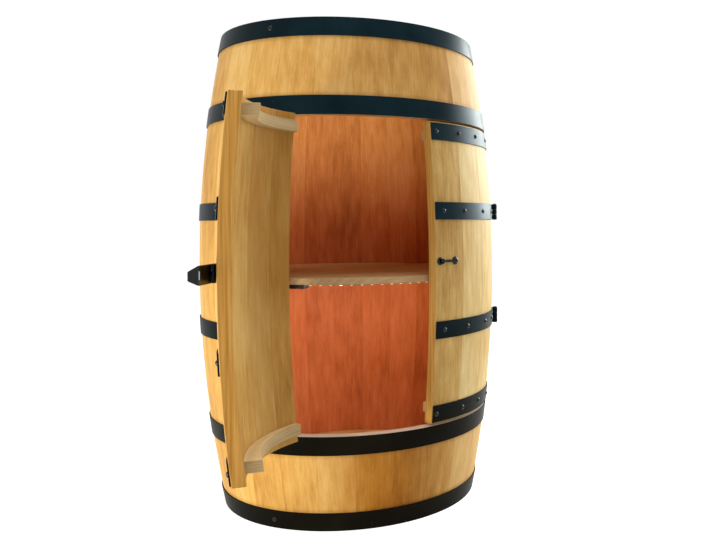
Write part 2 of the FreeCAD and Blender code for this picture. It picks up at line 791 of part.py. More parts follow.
SHELF_FLOOR = cell("shelf_top") - cell("shelf_thickness")
shelf = new_body("shelf")
board = new_sketch(shelf, "XY_Plane")
draw_circle(board, 0, 0, cell("shelf_radius"))
board.setExpression("AttachmentOffset.Base.z", SHELF_FLOOR.text)
extrude(shelf, board, cell("shelf_thickness"))
keep(shelf)

CLEAT_AZIMUTHS = (80, 180, -80)
CLEAT_HALF_ANGLE = 9
CLEAT = cell("cleat_thickness")
cleats = []
for azimuth in CLEAT_AZIMUTHS:
    span = (azimuth - CLEAT_HALF_ANGLE, azimuth + CLEAT_HALF_ANGLE)
    levels = (SHELF_FLOOR - CLEAT, SHELF_FLOOR)
    cleats.append(band(f"shelf_cleat_{len(cleats) + 1}", levels, (LEDGE_OUT, LEDGE_OUT - CLEAT), span))
keep(group("shelf_cleats", cleats))

LIGHT_DEPTH = cell("light_depth")
LIGHT_WIDTH = cell("light_width")
LIGHT_INSET = 4
LIGHT_SPAN = 96
strip_levels = (OPENING_TOP + HOOP, OPENING_TOP + HOOP + LIGHT_WIDTH)
strip_offsets = (LEDGE_OUT, LEDGE_OUT - LIGHT_DEPTH)
keep(band("upper_light_strip", strip_levels, strip_offsets, (-FRONT_EDGE, FRONT_EDGE)))

shelf_strip = new_body("shelf_light_strip")
section = new_sketch(shelf_strip, "XZ_Plane")
outer = cell("shelf_radius") - LIGHT_INSET
inner = outer - LIGHT_WIDTH
floor = SHELF_FLOOR - LIGHT_DEPTH
draw_polygon(section, ((inner, floor), (outer, floor), (outer, SHELF_FLOOR), (inner, SHELF_FLOOR)))
revolve(shelf_strip, section, LIGHT_SPAN)
keep(shelf_strip, BARREL, turned(0))

CONTROL_LENGTH, CONTROL_WIDTH, CONTROL_HEIGHT = 34, 18, 8
CONTROL_AZIMUTH = -53
CONTROL_RADIUS = 205
light_control = doc.addObject("Part::Box", "light_control")
light_control.Length = CONTROL_WIDTH
light_control.Width = CONTROL_LENGTH
light_control.Height = CONTROL_HEIGHT
control_corner = Vector(CONTROL_RADIUS, -CONTROL_LENGTH / 2, SHELF_FLOOR.value - CONTROL_HEIGHT)
keep(light_control, turned(CONTROL_AZIMUTH), Placement(control_corner, Rotation()))

# ---------------------------------------------------------------- screws that hold the bands

HOOP_SCREW_AZIMUTHS = (-63, 57, 177)
LAP_RIVET_AZIMUTHS = (150, 156)
hoop_screws = []
for label, bottom in FULL_HOOPS.items():
    ends = label in ("bottom_hoop", "top_hoop")
    for azimuth in HOOP_SCREW_AZIMUTHS if ends else LAP_RIVET_AZIMUTHS:
        name = f"hoop_screw_{len(hoop_screws) + 1}"
        hoop_screws.append(screw(name, azimuth, bottom + HOOP / 2, BAND_OUT))
for level in (LOWER_HINGE, UPPER_HINGE):
    for azimuth in (-HINGE_AZIMUTH - 6, HINGE_AZIMUTH + 6):
        name = f"hoop_screw_{len(hoop_screws) + 1}"
        hoop_screws.append(screw(name, azimuth, level, BAND_OUT))
keep(group("hoop_screws", hoop_screws))

# ---------------------------------------------------------------- checks and files

doc.recompute()
failed = [o.Label for o in doc.Objects if "Invalid" in o.State or "Error" in o.State]
if failed:
    raise RuntimeError(f"these objects did not recompute: {failed}")
for node in parts:
    if node.Shape.isNull() or not node.Shape.isValid() or not node.Shape.Solids:
        raise RuntimeError(f"{node.Label} has no valid solid")

os.makedirs("parts", exist_ok=True)
for node in parts:
    node.Shape.exportStep(f"parts/{node.Label}.step")
    print(f"{node.Label:28s} solids {len(node.Shape.Solids)}  volume {node.Shape.Volume / 1000:9.2f} cm3")
print(len(parts), "nodes")
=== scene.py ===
import math

import bmesh
import bpy
from mathutils import Matrix, Vector


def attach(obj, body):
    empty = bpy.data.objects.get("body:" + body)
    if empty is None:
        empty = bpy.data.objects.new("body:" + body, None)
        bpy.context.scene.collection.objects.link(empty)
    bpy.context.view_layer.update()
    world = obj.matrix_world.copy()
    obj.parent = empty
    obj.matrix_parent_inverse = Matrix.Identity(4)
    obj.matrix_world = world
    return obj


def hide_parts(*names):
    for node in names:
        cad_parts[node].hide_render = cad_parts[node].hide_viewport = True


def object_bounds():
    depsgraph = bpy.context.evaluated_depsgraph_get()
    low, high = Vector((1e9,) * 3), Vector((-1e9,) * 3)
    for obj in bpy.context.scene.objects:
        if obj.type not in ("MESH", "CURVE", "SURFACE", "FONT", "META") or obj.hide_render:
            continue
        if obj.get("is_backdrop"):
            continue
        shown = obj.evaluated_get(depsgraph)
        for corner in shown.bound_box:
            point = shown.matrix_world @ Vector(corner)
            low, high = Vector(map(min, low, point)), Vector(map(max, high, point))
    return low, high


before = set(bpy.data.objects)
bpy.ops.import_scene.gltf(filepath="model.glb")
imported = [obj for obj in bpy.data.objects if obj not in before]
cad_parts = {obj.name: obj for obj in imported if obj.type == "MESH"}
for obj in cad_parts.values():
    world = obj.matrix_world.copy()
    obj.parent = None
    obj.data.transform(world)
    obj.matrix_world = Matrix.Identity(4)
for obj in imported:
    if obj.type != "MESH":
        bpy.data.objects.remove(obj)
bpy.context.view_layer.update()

MM = 0.001

# ------------ the barrel's own sizes

# In metres and degrees. Azimuths start at the middle of the front and grow to the right.

HEIGHT = 0.8
MIDDLE = HEIGHT / 2
# The outer radius at half height, how far that is beyond the two ends, and the arc of a stave.
BELLY = 0.2585
BULGE = 0.0405
ARC = (MIDDLE ** 2 + BULGE ** 2) / (2 * BULGE)
THICK = 18 * MM
PITCH = 360 / 25
BACK_STAVES, FRONT_STAVES = 17, 6

DOOR_LOW, DOOR_HIGH = 0.157, 0.643
GAP = 3 * MM
OPEN_LOW, OPEN_HIGH = DOOR_LOW - GAP, DOOR_HIGH + GAP
HINGE_AZ = 54
HINGE_R = 0.264
LEFT_OPEN = 107.2

# Bands: heights, thickness, and the hair's breadth that keeps them off the wood.
HOOP = 30 * MM
STRAP = 28 * MM
BAND = 2 * MM
SEAT = 0.1 * MM
STRAP_INSET = 16 * MM
TOP_HINGE, LOW_HINGE = 0.4995, 0.309
TOP_STRAP, LOW_STRAP = DOOR_HIGH - STRAP_INSET, DOOR_LOW + STRAP_INSET
HOOP_FEET = (0, OPEN_LOW - HOOP, OPEN_HIGH, HEIGHT - HOOP)

LEDGE_OUT = -(THICK + SEAT)
SHELF_TOP = 0.396
SHELF_THICK = 10 * MM
HASP_Z = 0.419
HASP_HALF = 12 * MM
HASP_OPEN = 23


def radius(z, offset=0.0):
    """The wall's radius at a level, offset outwards along the arc."""
    return BELLY - ARC + math.sqrt((ARC + offset) ** 2 - (z - MIDDLE) ** 2)


def outward(azimuth):
    """Turns +X to face out of the barrel at an azimuth."""
    return Matrix.Rotation(math.radians(azimuth - 90), 4, "Z")


def spot(azimuth, r, z):
    """The point at an azimuth, radius and level."""
    a = math.radians(azimuth)
    return Vector((r * math.sin(a), -r * math.cos(a), z))


def swing(centre, degrees):
    """A turn about the upright axis through a point."""
    turn = Matrix.Rotation(math.radians(degrees), 4, "Z")
    return Matrix.Translation(centre) @ turn @ Matrix.Translation(-centre)


# Pieces are built with both doors and the hasp shut, and these take them to the frame's rest.
REST = {
    "barrel": Matrix.Identity(4),
    "right_door": Matrix.Identity(4),
    "left_door": swing(spot(-HINGE_AZ, HINGE_R, 0), -LEFT_OPEN),
}
HASP_AXIS = spot(-6.6, 0.262, 0)
REST["hasp"] = REST["left_door"] @ swing(HASP_AXIS, -HASP_OPEN)

# ------------ camera and light

scene = bpy.context.scene
scene.view_settings.view_transform = "Standard"

# The camera that was fitted to the photo.
CAMERA_PLACE = (-0.7419, -1.2725, 0.4808)
CAMERA_LOOK = (0.6561, 0.7547, -0.014)
CAMERA_ROLL = -0.005
CAMERA_LENS = 39.8
CAMERA_SHIFT = (-0.1996, -0.0514)
# The soft light from all round.
SOFT_LIGHT = (0.97, 1, 0.97, 1)
SOFT_STRENGTH = 0.37


def looking(direction):
    """Turns -Z to a direction, with +Y up."""
    return Vector(direction).to_track_quat("-Z", "Y").to_matrix().to_4x4()


def add_camera():
    data = bpy.data.cameras.new("camera")
    data.sensor_width = 36
    data.lens = CAMERA_LENS
    data.shift_x, data.shift_y = CAMERA_SHIFT
    camera = bpy.data.objects.new("camera", data)
    scene.collection.objects.link(camera)
    turn = looking(Vector(CAMERA_LOOK).normalized()) @ Matrix.Rotation(CAMERA_ROLL, 4, "Z")
    camera.matrix_world = Matrix.Translation(CAMERA_PLACE) @ turn
    scene.camera = camera


def add_area(name, place, target, size, power, colour=(1, 1, 1), spread=180):
    """A soft lamp at a place, turned to a target. The camera doesn't see it."""
    data = bpy.data.lights.new(name, "AREA")
    data.shape = "RECTANGLE"
    data.size, data.size_y = size
    data.energy = power
    data.color = colour
    data.spread = math.radians(spread)
    lamp = bpy.data.objects.new(name, data)
    scene.collection.objects.link(lamp)
    lamp.matrix_world = Matrix.Translation(place) @ looking(Vector(target) - Vector(place))
    lamp.visible_camera = False


def seen_rays(tree):
    """1 for rays from the camera, reflections and glass, 0 for light that falls on things."""
    path = tree.nodes.new("ShaderNodeLightPath")
    seen = path.outputs["Is Camera Ray"]
    for kind in ("Is Glossy Ray", "Is Transmission Ray"):
        either = tree.nodes.new("ShaderNodeMath")
        either.operation = "MAXIMUM"
        tree.links.new(seen, either.inputs[0])
        tree.links.new(path.outputs[kind], either.inputs[1])
        seen = either.outputs[0]
    return seen


def add_world():
    """Soft light on the object, and pure white where the background is seen."""
    world = bpy.data.worlds.new("studio")
    scene.world = world
    world.use_nodes = True
    tree = world.node_tree
    tree.nodes.clear()
    out = tree.nodes.new("ShaderNodeOutputWorld")
    mix = tree.nodes.new("ShaderNodeMixShader")
    soft = tree.nodes.new("ShaderNodeBackground")
    soft.inputs["Color"].default_value = SOFT_LIGHT
    soft.inputs["Strength"].default_value = SOFT_STRENGTH
    white = tree.nodes.new("ShaderNodeBackground")
    white.inputs["Color"].default_value = (1, 1, 1, 1)
    white.inputs["Strength"].default_value = 1
    tree.links.new(seen_rays(tree), mix.inputs[0])
    tree.links.new(soft.outputs[0], mix.inputs[1])
    tree.links.new(white.outputs[0], mix.inputs[2])
    tree.links.new(mix.outputs[0], out.inputs[0])


add_camera()
add_world()
add_area("key", (-2.6, -1.1, 0.8), (0, 0, 0.4), (1.4, 1.4), 20, (1, 0.98, 0.92))
add_area("low", (-1.05, -0.09, 0.09), (-0.20, -0.06, 0.10), (0.35, 0.15), 6.9, (0.96, 1, 0.76))
add_area("front", (-0.9, -2.8, 1.3), (0, 0, 0.42), (2.0, 1.6), 6, (1, 0.99, 0.96))
add_area("side", (2.35, 0.1, 1.05), (0.1, 0, 0.62), (1.8, 1.1), 74, (0.93, 1, 0.98))
add_area("top", (0.1, -0.3, 2.5), (0, 0, 0.4), (2, 2), 30)
# The light that the strips inside throw on the back wall.
GLOW = (1.0, 0.94, 0.90)
add_area("upper_glow", (0, -0.16, 0.715), (0, 0.24, 0.690), (0.26, 0.03), 0.44, GLOW, 105)
add_area("lower_glow", (0, -0.19, 0.376), (0, 0.24, 0.300), (0.26, 0.02), 0.76, GLOW, 120)

# ------------ materials


def linear(red, green, blue):
    """Scene colour of an 8-bit display colour."""
    levels = []
    for c in (red / 255, green / 255, blue / 255):
        levels.append(c / 12.92 if c <= 0.04045 else ((c + 0.055) / 1.055) ** 2.4)
    return (*levels, 1)


class Graph:
    """A material's node tree, with a call for each kind of node."""

    def __init__(self, name):
        self.material = bpy.data.materials.new(name)
        self.material.use_nodes = True
        self.tree = self.material.node_tree
        self.shader = self.tree.nodes["Principled BSDF"]

    def wire(self, value, socket):
        """Gives a socket a number or colour, or links another node's output to it."""
        if isinstance(value, bpy.types.NodeSocket):
            self.tree.links.new(value, socket)
        else:
            socket.default_value = value

    def node(self, kind, **settings):
        node = self.tree.nodes.new(f"ShaderNode{kind}")
        for key, value in settings.items():
            setattr(node, key, value)
        return node

    def math(self, operation, *values):
        node = self.node("Math", operation=operation)
        for value, socket in zip(values, node.inputs):
            self.wire(value, socket)
        return node.outputs[0]

    def rest_of(self, share):
        return self.math("SUBTRACT", 1.0, share)

    def vector(self, x, y, z):
        node = self.node("CombineXYZ")
        for value, socket in zip((x, y, z), node.inputs):
            self.wire(value, socket)
        return node.outputs[0]

    def noise(self, vector, scale=1.0, detail=2.0, rough=0.5):
        node = self.node("TexNoise")
        self.wire(vector, node.inputs["Vector"])
        node.inputs["Scale"].default_value = scale
        node.inputs["Detail"].default_value = detail
        node.inputs["Roughness"].default_value = rough
        return node.outputs["Fac"]

    def remap(self, value, low, high, to_low=0.0, to_high=1.0):
        """From to_low to to_high while the value goes from low to high, and no further."""
        node = self.node("MapRange")
        self.wire(value, node.inputs["Value"])
        names = ("From Min", "From Max", "To Min", "To Max")
        for name, number in zip(names, (low, high, to_low, to_high)):
            self.wire(number, node.inputs[name])
        return node.outputs["Result"]

    def ramp(self, value, *stops):
        node = self.node("ValToRGB")
        self.wire(value, node.inputs[0])
        elements = node.color_ramp.elements
        while len(elements) < len(stops):
            elements.new(0.5)
        for element, (position, colour) in zip(elements, stops):
            element.position = position
            element.color = colour
        return node.outputs["Color"]

    def mix(self, share, a, b, blend="MIX"):
        node = self.node("Mix", data_type="RGBA", blend_type=blend)
        self.wire(share, node.inputs["Factor"])
        self.wire(a, node.inputs["A"])
        self.wire(b, node.inputs["B"])
        return node.outputs["Result"]

    def tint(self, colour, tint, share=1.0):
        return self.mix(share, colour, tint, "MULTIPLY")

    def boards(self, position, pitch, width, first):
        """The share across a board, the distance from its middle, and three values of its own."""
        count = self.math("DIVIDE", position, pitch)
        board = self.math("FLOOR", count)
        share = self.math("SUBTRACT", count, board)
        white = self.node("TexWhiteNoise", noise_dimensions="1D")
        self.wire(self.math("ADD", board, first), white.inputs["W"])
        split = self.node("SeparateColor")
        self.wire(white.outputs["Color"], split.inputs[0])
        across = self.math("MULTIPLY", self.math("SUBTRACT", share, 0.5), width)
        return share, across, split.outputs

    def flatness(self):
        """1 where a face is level, 0 where it stands upright."""
        facing = self.node("SeparateXYZ")
        self.wire(self.node("NewGeometry").outputs["Normal"], facing.inputs[0])
        return self.math("ABSOLUTE", facing.outputs["Z"])

    def place(self, shut=False):
        """The place on the object, whole and in parts, with shut as if the left door were shut."""
        coordinates = self.node("TexCoord").outputs["Object"]
        if shut:
            back = self.node("VectorRotate", rotation_type="Z_AXIS")
            self.wire(coordinates, back.inputs["Vector"])
            back.inputs["Center"].default_value = spot(-HINGE_AZ, HINGE_R, 0)
            back.inputs["Angle"].default_value = math.radians(LEFT_OPEN)
            coordinates = back.outputs[0]
        parts = self.node("SeparateXYZ")
        self.wire(coordinates, parts.inputs[0])
        return coordinates, parts.outputs

    def around(self, x, y):
        """The azimuth, in radians, and the distance from the barrel's axis."""
        azimuth = self.math("ARCTAN2", x, self.math("MULTIPLY", y, -1.0))
        squares = self.math("ADD", self.math("MULTIPLY", x, x), self.math("MULTIPLY", y, y))
        return azimuth, self.math("SQRT", squares)

    def bump(self, height, strength, distance):
        node = self.node("Bump")
        node.inputs["Strength"].default_value = strength
        node.inputs["Distance"].default_value = distance
        self.wire(height, node.inputs["Height"])
        self.wire(node.outputs[0], self.shader.inputs["Normal"])

    def finish(self, colour, roughness, **fixed):
        """Ends the material. The fixed values are set on the shader's own sockets."""
        self.wire(colour, self.shader.inputs["Base Color"])
        self.wire(roughness, self.shader.inputs["Roughness"])
        for name, value in fixed.items():
            self.shader.inputs[name.replace("_", " ")].default_value = value
        return self.material


# Distances between the year rings, seen across a board and into it.
STAVE_RING, BOARD_RING, BENT_RING = 7 * MM, 9 * MM, 60 * MM
RING_DEPTH, BENT_LAYER = 12.6 * MM, 4 * MM
PORE_BUMP, PORE_DEPTH = 0.28, 0.35 * MM


def wood_figure(g, across, along, deep, seeds, ring, layer):
    """Rings, fibres, streaks, flames and pores that run along a board, each from about 0 to 1."""
    shift_a = g.math("MULTIPLY", seeds[0], 13.0)
    shift_b = g.math("MULTIPLY", seeds[1], 29.0)

    def stretched(wide, long):
        """Coordinates in which a noise repeats this often per metre, across and along."""
        x = g.math("MULTIPLY_ADD", across, wide, shift_a)
        y = g.math("MULTIPLY_ADD", along, long, shift_b)
        z = g.math("MULTIPLY", deep, wide)
        return g.vector(x, y, z)

    warp = g.noise(stretched(11, 1.5), detail=2, rough=0.45)
    sway = g.noise(stretched(26, 5), detail=2)
    phase = g.math("MULTIPLY", across, 2 * math.pi / ring)
    phase = g.math("MULTIPLY_ADD", warp, 46.0, phase)
    phase = g.math("MULTIPLY_ADD", sway, 5.0, phase)
    phase = g.math("MULTIPLY_ADD", deep, 2 * math.pi / layer, phase)
    rings = g.math("MULTIPLY_ADD", g.math("SINE", phase), 0.5, 0.5)
    rings = g.math("POWER", rings, 1.6)
    fibres = g.noise(stretched(620, 10), detail=4, rough=0.62)
    streaks = g.noise(stretched(120, 2.2), detail=3, rough=0.55)
    flames = g.noise(stretched(75, 17), detail=3, rough=0.6)
    pores = g.remap(g.noise(stretched(1500, 75), detail=1), 0.60, 0.72)
    return rings, fibres, streaks, flames, pores


def oak_tone(g, figure, blotch, seed, weights):
    """From dark to light, 0 to 1, by how much each part of the figure counts."""
    *grain, pores = figure
    tone = 0.5
    for value, weight in zip((*grain, blotch, seed), weights):
        centred = g.math("SUBTRACT", value, 0.5)
        tone = g.math("MULTIPLY_ADD", centred, weight, tone)
    return g.math("MULTIPLY_ADD", pores, -0.12, tone)


def wood_surface(g, colour, figure, gloss_change, specular):
    """Ends an oak material. The fibres change its gloss, and the rings and pores its height."""
    rings, fibres, *_, pores = figure
    roughness = g.math("MULTIPLY_ADD", fibres, gloss_change, 0.42)
    height = g.math("MULTIPLY_ADD", rings, 0.30, g.math("SUBTRACT", fibres, pores))
    g.bump(height, PORE_BUMP, PORE_DEPTH)
    return g.finish(colour, roughness, Specular_IOR_Level=specular)


# Dark, middle and light tones of the oiled staves, the shelf, and the ledges.
TONES = (0.0, 0.5, 1.0)
HONEY = (linear(158, 104, 42), linear(205, 154, 84), linear(228, 188, 124))
TAN = (linear(150, 114, 70), linear(184, 150, 106), linear(208, 178, 136))
PALE = (linear(168, 139, 94), linear(207, 178, 131), linear(228, 206, 164))
JOINT, STAIN = linear(96, 58, 22), linear(104, 66, 30)
SAWN = ((0.32, linear(182, 124, 50)), (0.66, linear(216, 160, 82)))
# End grain: pale low down as painted light, darker tan high up as painted shade.
LIT_SILL_GRAIN = (linear(208, 192, 174), linear(238, 228, 214))
SHADED_RIM_GRAIN = (linear(168, 128, 80), linear(206, 172, 126))
# Painted warm shade, low down on the front.
PAINTED_GOLD_SHADE = (0.74, 0.54, 0.24, 1)
# The outside is at BELLY + BELLY_CURVE * (height from the middle) ** 2, very near the arc.
BELLY_CURVE = -0.2506
STAVE_WIDE = 65 * MM
# How much rings, fibres, streaks, flames, blotches and the board itself change the tone.
STAVE_WEIGHTS = (0.06, 0.12, 0.22, 0.82, 0.86, 0.44)
BOARD_WEIGHTS = (0.16, 0.30, 0.45, 0.40, 0.45, 0.30)


def joints_and_stains(g, colour, share, z, outer):
    """The boards' joints, and the dark line that the hoops leave beside them."""
    edge = g.math("MULTIPLY", g.math("MINIMUM", share, g.rest_of(share)), STAVE_WIDE / MM)
    colour = g.mix(g.remap(edge, 0.12, 0.7, 0.10, 0.0), colour, JOINT)
    beside = 1.0
    for foot in HOOP_FEET:
        gap = g.math("ABSOLUTE", g.math("SUBTRACT", z, foot + HOOP / 2))
        beside = g.math("MINIMUM", beside, gap)
    stain = g.remap(beside, HOOP / 2, HOOP / 2 + 7 * MM, 0.30, 0.0)
    return g.mix(g.math("MULTIPLY", stain, outer), colour, STAIN)


def painted_low_gold(g, colour, angle, z, not_inner):
    """A painted warm shade: deeper gold low down on the front."""
    low = g.remap(z, 0.32, 0.10)
    front = g.remap(g.math("ABSOLUTE", g.math("ADD", angle, 0.30)), 0.52, 0.10)
    return g.tint(colour, PAINTED_GOLD_SHADE, g.math("MULTIPLY", g.math("MULTIPLY", low, front), not_inner))


def cut_edges(g, colour, across, z, r, depth, not_inner):
    """Sawn wood on the faces between the outside and the inside."""
    cut = g.math("MULTIPLY", g.remap(depth, 0.8 * MM, 2 * MM), not_inner)
    marks = (g.math("MULTIPLY", across, 300), g.math("MULTIPLY", z, 7), g.math("MULTIPLY", r, 300))
    sawn = g.noise(g.vector(*marks), detail=3)
    return g.mix(cut, colour, g.ramp(sawn, *SAWN))


def end_grain(g, colour, fibres, z):
    """End grain, where a stave's end faces up or down. The sill's is painted pale, a painted
    highlight, and the rim's a darker tan, painted shade.
    """
    end = g.remap(g.flatness(), 0.75, 0.92)
    lit_sill, rim = g.mix(fibres, *LIT_SILL_GRAIN), g.mix(fibres, *SHADED_RIM_GRAIN)
    return g.mix(end, colour, g.mix(g.remap(z, 0.3, 0.5), lit_sill, rim))


def coopered_oak(name, inside, shut=False, hinge_side=None, painted_sheen=None):
    """Oak whose boards are the barrel's staves, found from the place round the barrel.

    inside tints the inner faces high up and low down, a stain that in the barrel is darker and
    redder low down as painted shade; hinge_side tints those beyond the left door's middle joint,
    and painted_sheen all the others as a painted sheen.
    """
    g = Graph(name)
    coordinates, (x, y, z) = g.place(shut)
    angle, r = g.around(x, y)
    share, across, seeds = g.boards(angle, math.radians(PITCH), STAVE_WIDE, 7.5)
    figure = wood_figure(g, across, z, r, seeds, STAVE_RING, RING_DEPTH)
    blotch = g.noise(coordinates, scale=5.5, detail=2)
    tone = oak_tone(g, figure, blotch, seeds[2], STAVE_WEIGHTS)
    colour = g.ramp(tone, *zip(TONES, HONEY))

    square = g.math("POWER", g.math("SUBTRACT", z, MIDDLE), 2.0)
    surface = g.math("MULTIPLY_ADD", square, BELLY_CURVE, BELLY)
    depth = g.math("SUBTRACT", surface, r)
    outer = g.remap(depth, 1 * MM, 3 * MM, 1.0, 0.0)
    inner = g.remap(depth, 15.5 * MM, 17.3 * MM)
    not_inner = g.rest_of(inner)
    colour = joints_and_stains(g, colour, share, z, outer)
    colour = painted_low_gold(g, colour, angle, z, not_inner)
    colour = cut_edges(g, colour, across, z, r, depth, not_inner)
    # Painted sheen on the outside faces.
    if painted_sheen:
        colour = g.tint(colour, painted_sheen, not_inner)
    # The inner faces' stain, painted darker and redder low down as painted shade.
    colour = g.tint(colour, g.mix(g.remap(z, 0.66, 0.46), *inside), inner)
    if hinge_side:
        darker = g.math("MULTIPLY", inner, g.remap(angle, -0.505, -0.501, 1.0, 0.0))
        darker = g.math("MULTIPLY", darker, g.remap(z, 0.22, 0.42, 0.35, 1.0))
        colour = g.tint(colour, hinge_side, darker)
    colour = end_grain(g, colour, figure[1], z)
    return wood_surface(g, colour, figure, 0.22, 0.09)


def grained_oak(g, coordinates, figure, seed, palette, faces=None):
    """What boards and battens share. faces tints their upright faces darker, as painted shade, and
    their level faces lighter, as painted light.
    """
    blotch = g.noise(coordinates, scale=7, detail=2)
    tone = oak_tone(g, figure, blotch, seed, BOARD_WEIGHTS)
    colour = g.ramp(tone, *zip(TONES, palette))
    if faces:
        colour = g.tint(colour, g.mix(g.remap(g.flatness(), 0.5, 0.9), *faces))
    return wood_surface(g, colour, figure, 0.2, 0.20)


def board_oak(name, palette, width):
    """Oak in straight boards. The grain runs along X."""
    g = Graph(name)
    coordinates, (x, y, z) = g.place()
    _, across, seeds = g.boards(y, width, width, 3.5)
    figure = wood_figure(g, across, x, z, seeds, BOARD_RING, RING_DEPTH)
    return grained_oak(g, coordinates, figure, seeds[2], palette)


def bent_oak(name, palette, shut=False):
    """Oak in fine layers that follow the barrel's wall, for the ledges and cleats."""
    g = Graph(name)
    coordinates, (x, y, z) = g.place(shut)
    angle, r = g.around(x, y)
    along = g.math("MULTIPLY", angle, 0.23)
    *seeds, seed = (0.35, 0.6, 0.5)
    figure = wood_figure(g, r, along, z, seeds, BENT_RING, BENT_LAYER)
    # Painted shade on the upright faces, painted light on the level ones.
    faces = ((0.84, 0.80, 0.76, 1), (1.13, 1.19, 1.22, 1))
    return grained_oak(g, coordinates, figure, seed, palette, faces)


def black_paint(name, base, foot, rough, grain, gloss, tint=(1, 1, 1, 1)):
    """Satin black paint on steel, a little uneven and brushed, with pale rubbed specks.

    It goes from base to foot near the floor, a painted shade low down, and painted shade makes it
    darkest on the left.
    """
    g = Graph(name)
    coordinates, (x, y, z) = g.place()
    cloud = g.noise(coordinates, scale=18, detail=3)
    fine = g.noise(coordinates, scale=grain, detail=2)
    strokes = (g.math("MULTIPLY", x, 60), g.math("MULTIPLY", y, 60), g.math("MULTIPLY", z, 900))
    brushed = g.noise(g.vector(*strokes), detail=2)
    # Painted shade: darker towards the floor, from base to foot.
    colour = g.mix(g.remap(z, 0.34, 0.14), base, foot)
    colour = g.mix(g.remap(cloud, 0.3, 0.75), colour, g.tint(colour, (1.8, 1.8, 1.8, 1)))
    # Painted shade: the left side is darkened.
    painted_left_shade = g.remap(x, -0.25, -0.12, 0.30, 1.0)
    colour = g.tint(colour, g.vector(painted_left_shade, painted_left_shade, painted_left_shade))
    worn = g.remap(g.noise(coordinates, scale=170, detail=3), 0.70, 0.80, 0.0, 0.30)
    colour = g.mix(worn, colour, linear(84, 84, 80))
    roughness = g.math("MULTIPLY_ADD", cloud, 0.20, rough)
    g.bump(g.math("MULTIPLY_ADD", brushed, 0.4, fine), 0.14, 0.25 * MM)
    return g.finish(colour, roughness, Specular_IOR_Level=gloss, Specular_Tint=tint)


def glowing(name, colour, rim, strength):
    """A lamp under a milky, slightly mottled cover."""
    g = Graph(name)
    coordinates, _ = g.place()
    milky = g.noise(coordinates, scale=260, detail=1)
    g.wire(g.mix(g.remap(milky, 0.35, 0.65), rim, colour), g.shader.inputs["Emission Color"])
    g.shader.inputs["Emission Strength"].default_value = strength
    return g.finish((0.85, 0.70, 0.50, 1), 0.35)


def plastic(name, dark, pale):
    """Moulded plastic with a fine grain."""
    g = Graph(name)
    coordinates, _ = g.place()
    fine = g.noise(coordinates, scale=900, detail=2)
    g.bump(fine, 0.2, 0.15 * MM)
    return g.finish(g.ramp(fine, (0.3, dark), (0.8, pale)), g.math("MULTIPLY_ADD", fine, 0.2, 0.35))


# A reddish stain inside; its darker, redder low colour is painted shade.
BARREL_INSIDE_STAIN_AND_SHADE = ((0.95, 0.74, 0.64, 1), (0.80, 0.38, 0.34, 1))
LEFT_INSIDE = ((0.98, 1.03, 1.00, 1), (0.98, 1.04, 1.02, 1))
RIGHT_INSIDE = ((0.98, 0.92, 0.84, 1), (0.98, 0.92, 0.84, 1))
LEFT_HINGE_SIDE = (0.80, 0.68, 0.53, 1)
# Painted sheen: the right door's outside is paler and less saturated.
RIGHT_PAINTED_SHEEN = (1.03, 1.20, 1.42, 1)

BARREL_OAK = coopered_oak("barrel_oak", BARREL_INSIDE_STAIN_AND_SHADE)
DOOR_OAK = {
    "right_door": coopered_oak("right_door_oak", RIGHT_INSIDE, painted_sheen=RIGHT_PAINTED_SHEEN),
    "left_door": coopered_oak("left_door_oak", LEFT_INSIDE, shut=True, hinge_side=LEFT_HINGE_SIDE),
}
HEAD_OAK = board_oak("head_oak", HONEY, width=0.075)
SHELF_OAK = board_oak("shelf_oak", TAN, width=0.12)
PALE_OAK = bent_oak("pale_oak", PALE)
LEDGE_OAK = {"right_door": PALE_OAK, "left_door": bent_oak("left_ledge_oak", PALE, shut=True)}

# The darker black, and the browner one low down, are painted shade on the lower bands.
BLUE_BLACK, SHADED_DEEP_BLACK, SHADED_BROWN_BLACK = linear(12, 27, 32), linear(12, 24, 28), linear(17, 14, 8)
BLUE_SHEEN = (0.35, 0.72, 1, 1)
STEEL = black_paint("black_steel", BLUE_BLACK, SHADED_DEEP_BLACK, 0.26, 420, 0.06, BLUE_SHEEN)
SHADED_LOW_STEEL = black_paint("shaded_low_black_steel", SHADED_DEEP_BLACK, SHADED_BROWN_BLACK, 0.28, 420, 0.02)
HARDWARE = black_paint("black_hardware", linear(7, 8, 10), linear(8, 7, 7), 0.13, 700, 0.22)
LIGHT = glowing("light_lamps", (1.0, 0.84, 0.60, 1), (1.0, 0.68, 0.38, 1), 1.1)
TAPE = plastic("light_tape", linear(150, 132, 104), linear(178, 160, 130))
PLASTIC = plastic("dark_plastic", linear(24, 22, 21), linear(40, 37, 34))

# ------------ mesh builders

SHARP = math.radians(38)


def steps(low, high, count):
    """Evenly spaced values, both ends among them."""
    return [low + (high - low) * n / count for n in range(count + 1)]


def constant(offset):
    """For builders that ask for a value at each place."""
    return lambda place: offset


def mirrored(azimuths, side):
    """Azimuths given for the right side, taken to the left where side is -1."""
    return azimuths if side > 0 else [-a for a in reversed(azimuths)]


